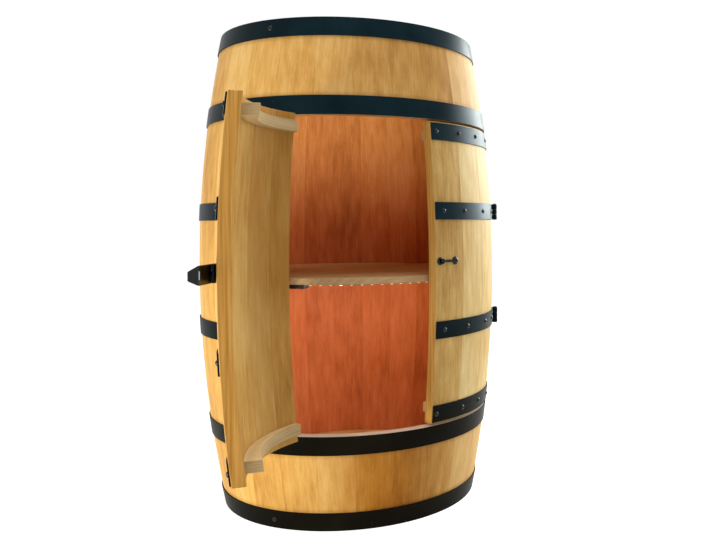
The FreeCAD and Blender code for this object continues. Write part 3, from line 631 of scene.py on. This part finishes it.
def slab(bm, out, back, there, closed=False):
    """A plate between two grids of points, by columns. Only cells with there(i, j) are made."""
    wide, tall = len(out) - (0 if closed else 1), len(out[0]) - 1
    out, back = ([[bm.verts.new(p) for p in column] for column in grid] for grid in (out, back))

    def solid(i, j):
        if closed:
            i %= wide
        return 0 <= i < wide and 0 <= j < tall and there(i, j)

    for i in range(wide):
        k = (i + 1) % len(out)
        for j in range(tall):
            if not solid(i, j):
                continue
            bm.faces.new((out[i][j], out[k][j], out[k][j + 1], out[i][j + 1]))
            bm.faces.new((back[i][j + 1], back[k][j + 1], back[k][j], back[i][j]))
            if not solid(i - 1, j):
                bm.faces.new((out[i][j], out[i][j + 1], back[i][j + 1], back[i][j]))
            if not solid(i + 1, j):
                bm.faces.new((back[k][j], back[k][j + 1], out[k][j + 1], out[k][j]))
            if not solid(i, j - 1):
                bm.faces.new((out[k][j], out[i][j], back[i][j], back[k][j]))
            if not solid(i, j + 1):
                bm.faces.new((back[k][j + 1], back[i][j + 1], out[i][j + 1], out[k][j + 1]))


def shell(bm, azimuths, levels, outer, inner, hole=None, closed=False):
    """A bent plate between two offsets from the wall, without the cells that are in hole()."""
    columns = azimuths[:-1] if closed else azimuths

    def sheet(offset):
        return [[spot(az, radius(z, offset(z)), z) for z in levels] for az in columns]

    def there(i, j):
        azimuth, level = (azimuths[i] + azimuths[i + 1]) / 2, (levels[j] + levels[j + 1]) / 2
        return hole is None or not hole(azimuth, level)

    slab(bm, sheet(outer), sheet(inner), there, closed)


def plate(bm, columns, rows, face, thickness, place, there=lambda i, j: True):
    """A plate along X that faces -Y. rows(x) gives its levels, face(x) its face's place."""
    def sheet(deep):
        return [[place @ Vector((x, face(x) + deep, z)) for z in rows(x)] for x in columns]

    slab(bm, sheet(0), sheet(thickness), there)


def prism(bm, lower, upper):
    """A solid between two outlines of the same number of points."""
    feet = [bm.verts.new(p) for p in lower]
    tops = [bm.verts.new(p) for p in upper]
    bm.faces.new(feet[::-1])
    bm.faces.new(tops)
    for n, foot in enumerate(feet):
        m = (n + 1) % len(feet)
        bm.faces.new((foot, feet[m], tops[m], tops[n]))


def upright(bm, outline, low, high, place):
    """A solid with upright sides, from an outline of (x, y) pairs."""
    prism(bm, *([place @ Vector((x, y, z)) for x, y in outline] for z in (low, high)))


def lathe(bm, profile, place, sides=32):
    """Turns (radius, height) pairs about the local Z. A radius of 0 closes the end."""
    rings = []
    for r, h in profile:
        if r == 0:
            rings.append([bm.verts.new(place @ Vector((0, 0, h)))])
            continue
        ring = []
        for n in range(sides):
            a = 2 * math.pi * n / sides
            ring.append(bm.verts.new(place @ Vector((r * math.cos(a), r * math.sin(a), h))))
        rings.append(ring)
    for low, high in zip(rings, rings[1:]):
        for n in range(sides):
            m = (n + 1) % sides
            feet = (low[n % len(low)], low[m % len(low)])
            tops = (high[m % len(high)], high[n % len(high)])
            bm.faces.new(list(dict.fromkeys(feet + tops)))


def tube(bm, place, outside, inside, low, high):
    """An upright tube with softened ends."""
    soft = min(0.5 * MM, (outside - inside) / 3)
    lathe(bm, (
        (inside, low), (outside - soft, low), (outside, low + soft), (outside, high - soft),
        (outside - soft, high), (inside, high), (inside, low),
    ), place)


def make(name, bm, material, body, nodes, edge=0.0):
    """Makes a piece that rides on a body and stands for CAD nodes. edge softens its sharp edges."""
    bmesh.ops.remove_doubles(bm, verts=bm.verts, dist=1e-7)
    bmesh.ops.delete(bm, geom=[v for v in bm.verts if not v.link_faces], context="VERTS")
    bm.transform(REST[body])
    bmesh.ops.recalc_face_normals(bm, faces=bm.faces)
    mesh = bpy.data.meshes.new(name)
    bm.to_mesh(mesh)
    bm.free()
    for face in mesh.polygons:
        face.use_smooth = True
    mesh.materials.append(material)
    piece = bpy.data.objects.new(name, mesh)
    scene.collection.objects.link(piece)
    if edge:
        bevel = piece.modifiers.new("edges", "BEVEL")
        bevel.width = edge
        bevel.segments = 2
        bevel.limit_method = "ANGLE"
        bevel.angle_limit = SHARP
        bevel.harden_normals = True
    else:
        mesh.set_sharp_from_angle(angle=SHARP)
    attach(piece, body)
    if nodes:
        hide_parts(*nodes)


# ------------ staves

STAVE_EDGE, JAMB_EDGE = 0.3 * MM, 0.5 * MM
CHIME_CUT, CHIME_HIGH = 6 * MM, 12 * MM


def stave_inside(z):
    """The inside's offset. It is cut back near the barrel's two ends."""
    return -THICK + max(0.0, CHIME_CUT * (1 - min(z, HEIGHT - z) / CHIME_HIGH))


def full_levels():
    """The levels of a stave's points, closer together at its ends."""
    ends = [0, 0.004, 0.008, 0.012]
    middle = steps(0.02, HEIGHT - 0.02, 38)
    return ends + middle + [HEIGHT - z for z in reversed(ends)]


def add_stave(name, azimuth, levels, node):
    bm = bmesh.new()
    shell(bm, steps(azimuth, azimuth + PITCH, 6), levels, constant(0), stave_inside)
    make(name, bm, BARREL_OAK, "barrel", [node], STAVE_EDGE)


for number in range(BACK_STAVES):
    name = f"stave_{number + 1:02d}"
    add_stave(f"oak_{name}", 4 * PITCH + number * PITCH, full_levels(), name)

for number in range(FRONT_STAVES):
    azimuth = (number - FRONT_STAVES / 2) * PITCH
    low = [z for z in full_levels() if z < OPEN_LOW - 0.002] + [OPEN_LOW]
    high = [OPEN_HIGH] + [z for z in full_levels() if z > OPEN_HIGH + 0.002]
    add_stave(f"oak_lower_front_{number + 1}", azimuth, low, "lower_front_staves")
    add_stave(f"oak_upper_front_{number + 1}", azimuth, high, "upper_front_staves")

for side, name in ((-1, "left_jamb_stave"), (1, "right_jamb_stave")):
    bm = bmesh.new()
    edges = steps(3 * PITCH, HINGE_AZ, 5) + steps(HINGE_AZ, 4 * PITCH, 2)[1:]
    levels = sorted(set(full_levels()) | {OPEN_LOW, OPEN_HIGH})

    def doorway(az, z):
        return abs(az) < HINGE_AZ and OPEN_LOW < z < OPEN_HIGH

    shell(bm, mirrored(edges, side), levels, constant(0), stave_inside, hole=doorway)
    make(f"oak_{name}", bm, BARREL_OAK, "barrel", [name], JAMB_EDGE)

# ------------ heads

HEAD_BOARDS = 6
HEAD_SUNK = 30 * MM
HEAD_PLAY = 0.3 * MM
CROZE_LEVEL, CROZE_DEEP = 9 * MM, 4.7 * MM
BOARD_GAP, BOARD_EDGE = 0.4 * MM, 0.7 * MM
RIM_FLAT = 0.5 * MM


def add_head(name, end, inward):
    """Edge-jointed boards, sunk below one end of the barrel. inward is 1 at the foot, -1 on top."""
    bm = bmesh.new()
    face = end + HEAD_SUNK * inward
    low, high = sorted((face, face + THICK * inward))
    rim = radius(face, -THICK) - HEAD_PLAY
    seat = radius(face + CROZE_LEVEL * inward, -THICK) + CROZE_DEEP
    width = 2 * seat / HEAD_BOARDS
    for number in range(HEAD_BOARDS):
        near = -seat + number * width + BOARD_GAP / 2
        far = near + width - BOARD_GAP
        near, far = max(near, -rim + RIM_FLAT), min(far, rim - RIM_FLAT)
        right = [(math.sqrt(rim * rim - y * y), y) for y in steps(near, far, 14)]
        left = [(-x, y) for x, y in reversed(right)]
        upright(bm, right + left, low, high, Matrix.Identity(4))
    make(f"oak_{name}", bm, HEAD_OAK, "barrel", [name], BOARD_EDGE)


add_head("bottom_head", 0, 1)
add_head("top_head", HEIGHT, -1)

# ------------ bands

HOOP_EDGE, STRAP_EDGE = 0.6 * MM, 0.5 * MM
# The hoops' riveted laps: their middles, half their length, and how much narrower they are.
LAPS = dict(zip(HOOP_FEET, (177, 153, 153, 177)))
LAP_HALF, LAP_INSET = 6, 1 * MM
LAP_LIFT = SEAT + 1.8 * BAND
BAND_IN, BAND_OUT, LAP_OUT = constant(SEAT), constant(SEAT + BAND), constant(LAP_LIFT)


def steel(level):
    """The lower bands take a darker, browner and less glossy copy of the paint, as painted shade.
    """
    return STEEL if level > MIDDLE else SHADED_LOW_STEEL


def add_hoop(name, foot, lap):
    """A closed band. Its riveted end laps over it round the back."""
    bm = bmesh.new()
    shell(bm, steps(-180, 180, 180), steps(foot, foot + HOOP, 4), BAND_OUT, BAND_IN, closed=True)
    over = steps(foot + LAP_INSET, foot + HOOP - LAP_INSET, 4)
    shell(bm, steps(lap - LAP_HALF, lap + LAP_HALF, 8), over, LAP_OUT, BAND_OUT)
    make(f"steel_{name}", bm, steel(foot), "barrel", [name], HOOP_EDGE)


for name, foot in zip(("bottom_hoop", "lower_hoop", "upper_hoop", "top_hoop"), HOOP_FEET):
    add_hoop(name, foot, LAPS[foot])

KNUCKLE = STRAP / 3
KNUCKLE_PLAY = 0.15 * MM
KNUCKLE_R, KNUCKLE_BORE = 4.6 * MM, 2.55 * MM
# How far from the hinge's axis a tongue bends out, and how far it reaches under the strap.
BEND, TONGUE = 5.2 * MM, 8.2 * MM


def add_knuckles(bm, level, az, side, shares):
    """Rolled knuckles on the hinge axis, each on a tongue, in these thirds of a strap's height."""
    away = 1 if level < MIDDLE else -1
    foot = radius(level + STRAP / 2 * away) + SEAT
    under = HINGE_R - KNUCKLE_R
    outline = (
        (foot, TONGUE * side), (foot + BAND, TONGUE * side), (foot + BAND, BEND * side),
        (under + BAND, 0), (under, 0), (foot, BEND * side),
    )
    place = outward(az)
    for share in shares:
        low = level - STRAP / 2 + KNUCKLE * share + KNUCKLE_PLAY
        high = low + KNUCKLE - 2 * KNUCKLE_PLAY
        upright(bm, outline if side > 0 else outline[::-1], low, high, place)
        tube(bm, place @ Matrix.Translation((HINGE_R, 0, 0)), KNUCKLE_R, KNUCKLE_BORE, low, high)


def band_levels(level):
    return steps(level - STRAP / 2, level + STRAP / 2, 4)


# Where the hinge bands end beside the axis, in degrees.
TIP = math.degrees(BEND / (BELLY + BAND))
for name, level in (("upper_hinge_hoop", TOP_HINGE), ("lower_hinge_hoop", LOW_HINGE)):
    bm = bmesh.new()
    columns = steps(HINGE_AZ + TIP, 360 - HINGE_AZ - TIP, 124)
    shell(bm, columns, band_levels(level), BAND_OUT, BAND_IN)
    for side in (-1, 1):
        add_knuckles(bm, level, side * HINGE_AZ, side, (0, 2))
    make(f"steel_{name}", bm, steel(level), "barrel", [name], STRAP_EDGE)

# (radius, height) in mm, from the hinge's foot and top.
PIN_FOOT = ((0, -0.4), (1.6, -0.4), (2.5, 0.3))
PIN_HEAD = ((2.5, 0), (3.8, 0), (3.8, 0.8), (2.6, 1.5), (0, 1.6))
bm = bmesh.new()
for side in (-1, 1):
    for level in (TOP_HINGE, LOW_HINGE):
        profile = [(r * MM, level - STRAP / 2 + h * MM) for r, h in PIN_FOOT]
        profile += [(r * MM, level + STRAP / 2 + h * MM) for r, h in PIN_HEAD]
        lathe(bm, profile, Matrix.Translation(spot(side * HINGE_AZ, HINGE_R, 0)))
make("steel_hinge_pins", bm, HARDWARE, "barrel", ["hinge_pins"])

# ------------ screws

STUD_R, STUD_HIGH, STUD_SUNK = 4.2 * MM, 2.2 * MM, 0.8 * MM
# The radii of the dome's rings, and the socket in it, as shares of the stud's radius and height.
DOME = (0.92, 0.8, 0.62, 0.42)
SOCKET = ((0.30, 0.96), (0.26, 0.45), (0, 0.40))


def add_stud(bm, azimuth, level, lift=SEAT + BAND):
    """A domed head with a small socket, on a surface that is lifted off the wall."""
    place = outward(azimuth) @ Matrix.Translation((radius(level, lift), 0, level))
    place = place @ Matrix.Rotation(math.radians(90), 4, "Y")
    ball = (STUD_R * STUD_R + STUD_HIGH * STUD_HIGH) / (2 * STUD_HIGH)
    profile = [(0, -STUD_SUNK), (STUD_R * 0.9, -STUD_SUNK), (STUD_R, 0)]
    for share in DOME:
        ring = STUD_R * share
        profile.append((ring, math.sqrt(ball * ball - ring * ring) - ball + STUD_HIGH))
    profile += [(STUD_R * r, STUD_HIGH * h) for r, h in SOCKET]
    lathe(bm, profile, place, 24)


# The azimuths of the doors' screws, by the level of their strap.
SCREWS = {
    TOP_STRAP: (3.2, 15.4, 28.5, 44),
    TOP_HINGE: (4.6, 15.6, 30.3, 44),
    LOW_HINGE: (4.6, 17.2, 32.2, 44),
    LOW_STRAP: (2.4, 16.8, 30.3, 44),
}
bm = bmesh.new()
for foot in HOOP_FEET[::3]:
    for azimuth in (-63, 57):
        add_stud(bm, azimuth, foot + HOOP / 2)
    add_stud(bm, LAPS[foot], foot + HOOP / 2, LAP_LIFT)
for foot in HOOP_FEET[1:3]:
    for azimuth in (LAPS[foot] - LAP_HALF / 2, LAPS[foot] + LAP_HALF / 2):
        add_stud(bm, azimuth, foot + HOOP / 2, LAP_LIFT)
for level in (LOW_HINGE, TOP_HINGE):
    for azimuth in (-60, 60):
        add_stud(bm, azimuth, level)
make("screws_barrel", bm, HARDWARE, "barrel", ["hoop_screws"])

# ------------ doors

DOOR_SIDE, DOOR_EDGE = 0.45, 0.8 * MM
# Degrees between which the straps run.
STRAP_START, STRAP_END, HINGE_STRAP_START = DOOR_SIDE + 0.4, HINGE_AZ - 1.2, 0.8
# The ledges, in degrees: their free end, where the hollow starts and is deepest, and how far they
# end short of the hinge. Then their height, widths, and distance from the door's ends.
LEDGE_START, LEDGE_BLOCK, LEDGE_THIN, LEDGE_PLAY = 4, 5.5, 48, 1.2
LEDGE_THICK, LEDGE_WIDE, LEDGE_TIP = 16 * MM, 23 * MM, 10.5 * MM
LEDGE_INSET, LEDGE_EDGE = 12 * MM, 0.9 * MM


def add_ledge(name, door, side, bottom):
    """A curved batten, wide at its free end. A long hollow thins it towards the hinge."""
    back = radius(bottom + LEDGE_THICK / 2, LEDGE_OUT)
    thin, block = back - LEDGE_TIP, back - LEDGE_WIDE
    lean = math.cos(math.radians(LEDGE_THIN - LEDGE_BLOCK))
    centre = (thin * thin - block * block) / (2 * (thin - block * lean))
    hollow = thin - centre

    def inside(azimuth, z):
        a = math.radians(LEDGE_THIN - azimuth)
        cut = centre * math.cos(a) + math.sqrt(hollow ** 2 - (centre * math.sin(a)) ** 2)
        return max(cut, radius(z, LEDGE_OUT - LEDGE_WIDE))

    def outline(z):
        far = HINGE_AZ - LEDGE_PLAY
        points = [spot(a, radius(z, LEDGE_OUT), z) for a in steps(LEDGE_START, far, 26)]
        points += [spot(a, inside(a, z), z) for a in steps(far, LEDGE_START, 36)]
        if side < 0:
            points = [Vector((-p.x, p.y, p.z)) for p in reversed(points)]
        return points

    bm = bmesh.new()
    prism(bm, outline(bottom), outline(bottom + LEDGE_THICK))
    node = f"{door}_{name}"
    make(f"oak_{node}", bm, LEDGE_OAK[door], door, [node], LEDGE_EDGE)


def add_strap(name, door, side, level, near, far, hinged=False):
    bm = bmesh.new()
    shell(bm, mirrored(steps(near, far, 26), side), band_levels(level), BAND_OUT, BAND_IN)
    if hinged:
        add_knuckles(bm, level, side * HINGE_AZ, -side, (1,))
    node = f"{door}_{name}"
    make(f"steel_{node}", bm, steel(level), door, [node], STRAP_EDGE)


for door, side in (("left_door", -1), ("right_door", 1)):
    edges = [DOOR_SIDE] + [PITCH * n for n in range(1, 4)] + [HINGE_AZ - DOOR_SIDE]
    for number, (near, far) in enumerate(zip(edges, edges[1:]), start=1):
        bm = bmesh.new()
        columns = mirrored(steps(near, far, 6), side)
        shell(bm, columns, steps(DOOR_LOW, DOOR_HIGH, 26), constant(0), constant(-THICK))
        name = f"oak_{door}_stave_{number}"
        make(name, bm, DOOR_OAK[door], door, [f"{door}_staves"], DOOR_EDGE)

    add_ledge("bottom_ledge", door, side, DOOR_LOW + LEDGE_INSET)
    add_ledge("top_ledge", door, side, DOOR_HIGH - LEDGE_INSET - LEDGE_THICK)

    for name, level in (("top_strap", TOP_STRAP), ("bottom_strap", LOW_STRAP)):
        add_strap(name, door, side, level, STRAP_START, STRAP_END)
    for name, level in (("upper_hinge_strap", TOP_HINGE), ("lower_hinge_strap", LOW_HINGE)):
        add_strap(name, door, side, level, HINGE_STRAP_START, HINGE_AZ - TIP, hinged=True)

    bm = bmesh.new()
    for level, azimuths in SCREWS.items():
        for azimuth in azimuths:
            add_stud(bm, side * azimuth, level)
    make(f"screws_{door}", bm, HARDWARE, door, [f"{door}_screws"])

# ------------ inside

SHELF_R, SHELF_EDGE = 0.235, 0.8 * MM
CLEAT_HALF, CLEAT_EDGE = 9, 1 * MM
CLEAT_LEVELS = (0.368, 0.386)


def on_circle(r, degrees):
    return r * math.cos(math.radians(degrees)), r * math.sin(math.radians(degrees))


bm = bmesh.new()
rim = [on_circle(SHELF_R, a) for a in steps(0, 357, 119)]
upright(bm, rim, SHELF_TOP - SHELF_THICK, SHELF_TOP, Matrix.Identity(4))
make("oak_shelf", bm, SHELF_OAK, "barrel", ["shelf"], SHELF_EDGE)

bm = bmesh.new()
for azimuth in (80, 180, -80):
    columns = steps(azimuth - CLEAT_HALF, azimuth + CLEAT_HALF, 8)
    shell(bm, columns, CLEAT_LEVELS, constant(LEDGE_OUT), constant(LEDGE_OUT - THICK))
make("oak_shelf_cleats", bm, PALE_OAK, "barrel", ["shelf_cleats"], CLEAT_EDGE)

# ------------ hasp and staple

HASP_FOOT = radius(HASP_Z) + SEAT
HASP_ROLL, HASP_BORE = 3.2 * MM, 1.65 * MM
HASP_THIRD = 2 * HASP_HALF / 3
HASP_PLAY = 0.15 * MM
TONGUE_HALF = HASP_HALF / 3 - HASP_PLAY
# Along the plate: the slot's ends, where it bends, its tip, and how far out the tip is bent.
SLOT, SLOT_HALF = (38.6 * MM, 44.6 * MM), 5.25 * MM
HASP_BEND, HASP_TIP, HASP_LIP = 45.2 * MM, 58 * MM, 7 * MM
# (distance from the hinge, half the height) in mm.
HASP_OUTLINE = (
    (0, 12), (3.7, 12), (15, 12), (30, 12), (38.6, 12), (43, 12), (44.6, 11.9), (45.2, 11.7),
    (47, 10.9), (52, 8.5), (56.6, 6.3), (57.6, 5.6), (58, 4.8),
)
LEAF_AZ, LEAF_CLEAR = -10, 3.7 * MM
LEAF_SCREW_AZ, LEAF_SCREW_RISE = -11, 6.5 * MM
PIN_R, PIN_OVER = 1.5 * MM, 0.3 * MM
HASP_EDGE, LEAF_EDGE, STAPLE_EDGE = 0.45 * MM, 0.4 * MM, 0.35 * MM


def hasp_rolls(bm, centre, shares):
    """Knuckles that take these thirds of the hasp's height."""
    for share in shares:
        low = HASP_Z - HASP_HALF + HASP_THIRD * share + HASP_PLAY
        high = low + HASP_THIRD - 2 * HASP_PLAY
        tube(bm, Matrix.Translation(centre), HASP_ROLL, HASP_BORE, low, high)


def add_hasp_plate():
    """The swinging plate: slotted for the staple, narrower and bent outwards at its tip."""
    half = {x * MM: h * MM for x, h in HASP_OUTLINE}
    columns = list(half)

    def rows(x):
        h = half[x]
        slot, tongue = min(SLOT_HALF, 0.8 * h), min(TONGUE_HALF, 0.55 * h)
        return [HASP_Z + z for z in (-h, -slot, -tongue, tongue, slot, h)]

    def face(x):
        return -HASP_ROLL - HASP_LIP * max(0, x - HASP_BEND) / (HASP_TIP - HASP_BEND)

    def there(i, j):
        if i == 0:
            return j == 2
        return not (SLOT[0] <= columns[i] < SLOT[1] - 1e-6 and 0 < j < 4)

    bm = bmesh.new()
    plate(bm, columns, rows, face, BAND, Matrix.Translation(HASP_AXIS), there)
    hasp_rolls(bm, HASP_AXIS, (1,))
    make("steel_hasp_plate", bm, HARDWARE, "hasp", ["hasp_plate"], HASP_EDGE)


def add_hasp_leaf():
    """The leaf on the door, with the two outer knuckles, its screws and the pin."""
    place = Matrix.Rotation(math.radians(LEAF_AZ), 4, "Z")
    roll = place.inverted() @ HASP_AXIS
    half = {
        -14 * MM: 10.4 * MM, -13.3 * MM: 11.5 * MM, -12 * MM: HASP_HALF,
        roll.x - LEAF_CLEAR: HASP_HALF, roll.x: HASP_HALF,
    }
    notch = TONGUE_HALF + 2 * HASP_PLAY

    def rows(x):
        return [HASP_Z + z for z in (-half[x], -notch, notch, half[x])]

    bm = bmesh.new()
    face = constant(-HASP_FOOT - BAND)
    plate(bm, list(half), rows, face, BAND, place, lambda i, j: i < 3 or j != 1)
    hasp_rolls(bm, HASP_AXIS, (0, 2))
    make("steel_hasp_leaf", bm, HARDWARE, "left_door", ["hasp_leaf"], LEAF_EDGE)

    bm = bmesh.new()
    for level in (HASP_Z - LEAF_SCREW_RISE, HASP_Z + LEAF_SCREW_RISE):
        add_stud(bm, LEAF_SCREW_AZ, level, HASP_FOOT + BAND - radius(level))
    make("screws_hasp", bm, HARDWARE, "left_door", ["hasp_screws"])

    bm = bmesh.new()
    reach = HASP_HALF + PIN_OVER
    profile = [(0, -reach), (PIN_R * 0.7, -reach), (PIN_R, -reach + 0.5 * MM)]
    profile += [(r, -h) for r, h in reversed(profile)]
    lathe(bm, profile, Matrix.Translation(HASP_AXIS + Vector((0, 0, HASP_Z))), 24)
    make("steel_hasp_pin", bm, HARDWARE, "left_door", ["hasp_pin"])


STAPLE_AZ = 6.1
# Half the distance between the rosettes, and half the bar's height.
ROSE_APART, BAR_HALF = 16.2 * MM, 1.9 * MM
# The eye's reach from the door, half height and half thickness, its hole and where that is.
EYE_REACH, EYE_HALF, EYE_THICK = 10 * MM, 4.2 * MM, 1.5 * MM
EYE_HOLE, EYE_CENTRE = 1.8 * MM, 6.4 * MM
EYE_SIDES = 32
# The rosettes' turned profiles, (radius, height) in mm. The one under the eye is lower.
LOW_ROSE = ((0, 0), (6.6, 0), (6.6, 0.5), (6.2, 1.0), (5.4, 1.2), (5.0, 1.7), (4.3, 2.0), (0, 2.0))
HIGH_ROSE = (
    (0, 0), (6.6, 0), (6.6, 0.6), (6.0, 1.3), (5.1, 1.6), (4.7, 2.4), (3.9, 3.3), (2.5, 3.85),
    (0, 4.0),
)


def add_staple():
    """Two turned rosettes joined by a bar. The left one carries the eye for a padlock."""
    place = Matrix.Rotation(math.radians(STAPLE_AZ), 4, "Z")
    bm = bmesh.new()
    rows = constant((HASP_Z - BAR_HALF, HASP_Z + BAR_HALF))
    plate(bm, steps(-ROSE_APART, ROSE_APART, 8), rows, constant(-HASP_FOOT - BAND), BAND, place)
    bend = EYE_REACH - EYE_HALF

    def eye(x):
        """One side of the eye, with a round end and straight sides down to the door."""
        columns = []
        for n in range(EYE_SIDES):
            a = 2 * math.pi * n / EYE_SIDES
            away, up = math.cos(a), math.sin(a)
            lean = (EYE_CENTRE - bend) * away
            edge = math.sqrt(lean * lean + EYE_HALF ** 2 - (EYE_CENTRE - bend) ** 2) - lean
            if EYE_CENTRE + edge * away < bend:
                sides = [EYE_HALF / abs(up)] if up else []
                edge = min(sides + [-EYE_CENTRE / away])
            points = ((EYE_CENTRE + r * away, HASP_Z + r * up) for r in (EYE_HOLE, edge))
            columns.append([place @ Vector((x - ROSE_APART, -HASP_FOOT - y, z)) for y, z in points])
        return columns

    slab(bm, eye(EYE_THICK), eye(-EYE_THICK), lambda i, j: True, closed=True)
    forward = Matrix.Rotation(math.radians(90), 4, "X")
    for x, profile in ((-ROSE_APART, LOW_ROSE), (ROSE_APART, HIGH_ROSE)):
        seat = place @ Matrix.Translation((x, -HASP_FOOT, HASP_Z)) @ forward
        lathe(bm, [(r * MM, h * MM) for r, h in profile], seat)
    make("steel_staple", bm, HARDWARE, "right_door", ["staple"], STAPLE_EDGE)


add_hasp_plate()
add_hasp_leaf()
add_staple()

# ------------ lights

LAMP_PITCH = 4
LAMP_HALF = 1.6 * MM
TAPE_DEEP, LAMP_DEEP = 1.2 * MM, 2.1 * MM
LIGHT_EDGE = 0.3 * MM
# The upper tape stands on the wall over the doorway, and the other lies under the shelf.
UPPER_FOOT, UPPER_HIGH = OPEN_HIGH + HOOP, 10 * MM
UNDER = SHELF_TOP - SHELF_THICK
UNDER_TAPE, UNDER_LAMPS = (221 * MM, 231 * MM), (224.4 * MM, 227.6 * MM)


def add_lamps(bm, half_span, near, far, low, high):
    """Small square lamps along a tape, between two radii and two levels."""
    for azimuth in steps(-half_span, half_span, int(2 * half_span / LAMP_PITCH)):
        box = ((near, -LAMP_HALF), (far, -LAMP_HALF), (far, LAMP_HALF), (near, LAMP_HALF))
        upright(bm, box, low, high, outward(azimuth))


def finish_light(name, tape, lamps, node):
    make(f"tape_{name}", tape, TAPE, "barrel", [node], LIGHT_EDGE)
    make(f"lamps_{name}", lamps, LIGHT, "barrel", [], LIGHT_EDGE)


tape, lamps = bmesh.new(), bmesh.new()
tape_in = constant(LEDGE_OUT - TAPE_DEEP)
levels = (UPPER_FOOT, UPPER_FOOT + UPPER_HIGH)
shell(tape, steps(-3 * PITCH, 3 * PITCH, 40), levels, constant(LEDGE_OUT), tape_in)
middle = UPPER_FOOT + UPPER_HIGH / 2
wall = radius(middle, LEDGE_OUT)
near, far = wall - LAMP_DEEP, wall - TAPE_DEEP / 2
add_lamps(lamps, 41, near, far, middle - LAMP_HALF, middle + LAMP_HALF)
finish_light("upper_light", tape, lamps, "upper_light_strip")

tape, lamps = bmesh.new(), bmesh.new()
near, far = UNDER_TAPE
ring = [spot(a, far, 0) for a in steps(-48, 48, 48)]
ring += [spot(a, near, 0) for a in steps(48, -48, 48)]
upright(tape, [(p.x, p.y) for p in ring], UNDER - TAPE_DEEP, UNDER, Matrix.Identity(4))
add_lamps(lamps, 46, *UNDER_LAMPS, UNDER - LAMP_DEEP, UNDER - TAPE_DEEP / 2)
finish_light("shelf_light", tape, lamps, "shelf_light_strip")


def rounded(x_low, x_high, y_low, y_high, soft):
    """A rectangle's outline with round corners, from sizes in mm."""
    points = []
    corners = ((x_high, y_high, 0), (x_low, y_high, 90), (x_low, y_low, 180), (x_high, y_low, 270))
    for x, y, start in corners:
        cx = x - math.copysign(soft, x - (x_low + x_high) / 2)
        cy = y - math.copysign(soft, y - (y_low + y_high) / 2)
        for a in steps(start, start + 90, 4):
            along, up = on_circle(soft, a)
            points.append(((cx + along) * MM, (cy + up) * MM))
    return points


# The control box under the shelf, with a raised field and a button, in mm.
BOX_AZ, BOX_DEEP, FIELD_DEEP, BOX_EDGE = -53, 7.2, 7.6, 0.5 * MM
BUTTON_AT = (214 * MM, 9 * MM)
BUTTON = ((0, 7), (3.4, 7), (3.4, 7.7), (2.8, 8), (0, 8))
bm = bmesh.new()
place = outward(BOX_AZ)
upright(bm, rounded(205, 223, -17, 17, 3), UNDER - BOX_DEEP * MM, UNDER, place)
upright(bm, rounded(207, 221, -15, 2, 2), UNDER - FIELD_DEEP * MM, UNDER - 7 * MM, place)
over = Matrix.Rotation(math.radians(180), 4, "X")
button = place @ Matrix.Translation((*BUTTON_AT, UNDER)) @ over
lathe(bm, [(r * MM, h * MM) for r, h in BUTTON], button)
make("plastic_light_control", bm, PLASTIC, "barrel", ["light_control"], BOX_EDGE)

# ------------ floor

FLOOR_HALF = 40
FLOOR_GREYS = ((0.3, (0.60, 0.60, 0.60, 1)), (0.7, (0.64, 0.64, 0.64, 1)))
FLOOR_WHITE = 0.80

ground = bpy.data.meshes.new("floor")
corners = [(x * FLOOR_HALF, y * FLOOR_HALF, 0) for x, y in ((-1, -1), (1, -1), (1, 1), (-1, 1))]
ground.from_pydata(corners, [], [(0, 1, 2, 3)])
floor = bpy.data.objects.new("floor", ground)
scene.collection.objects.link(floor)
# It glows for the camera and in reflections only, so it looks white and keeps the shadow.
g = Graph("floor")
coordinates, _ = g.place()
cloud = g.noise(coordinates, scale=2, detail=2)
g.shader.inputs["Emission Color"].default_value = (1, 1, 1, 1)
strength = g.math("MULTIPLY", seen_rays(g.tree), FLOOR_WHITE)
g.wire(strength, g.shader.inputs["Emission Strength"])
ground.materials.append(g.finish(g.ramp(cloud, *FLOOR_GREYS), 0.9))
floor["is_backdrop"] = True

low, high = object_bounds()
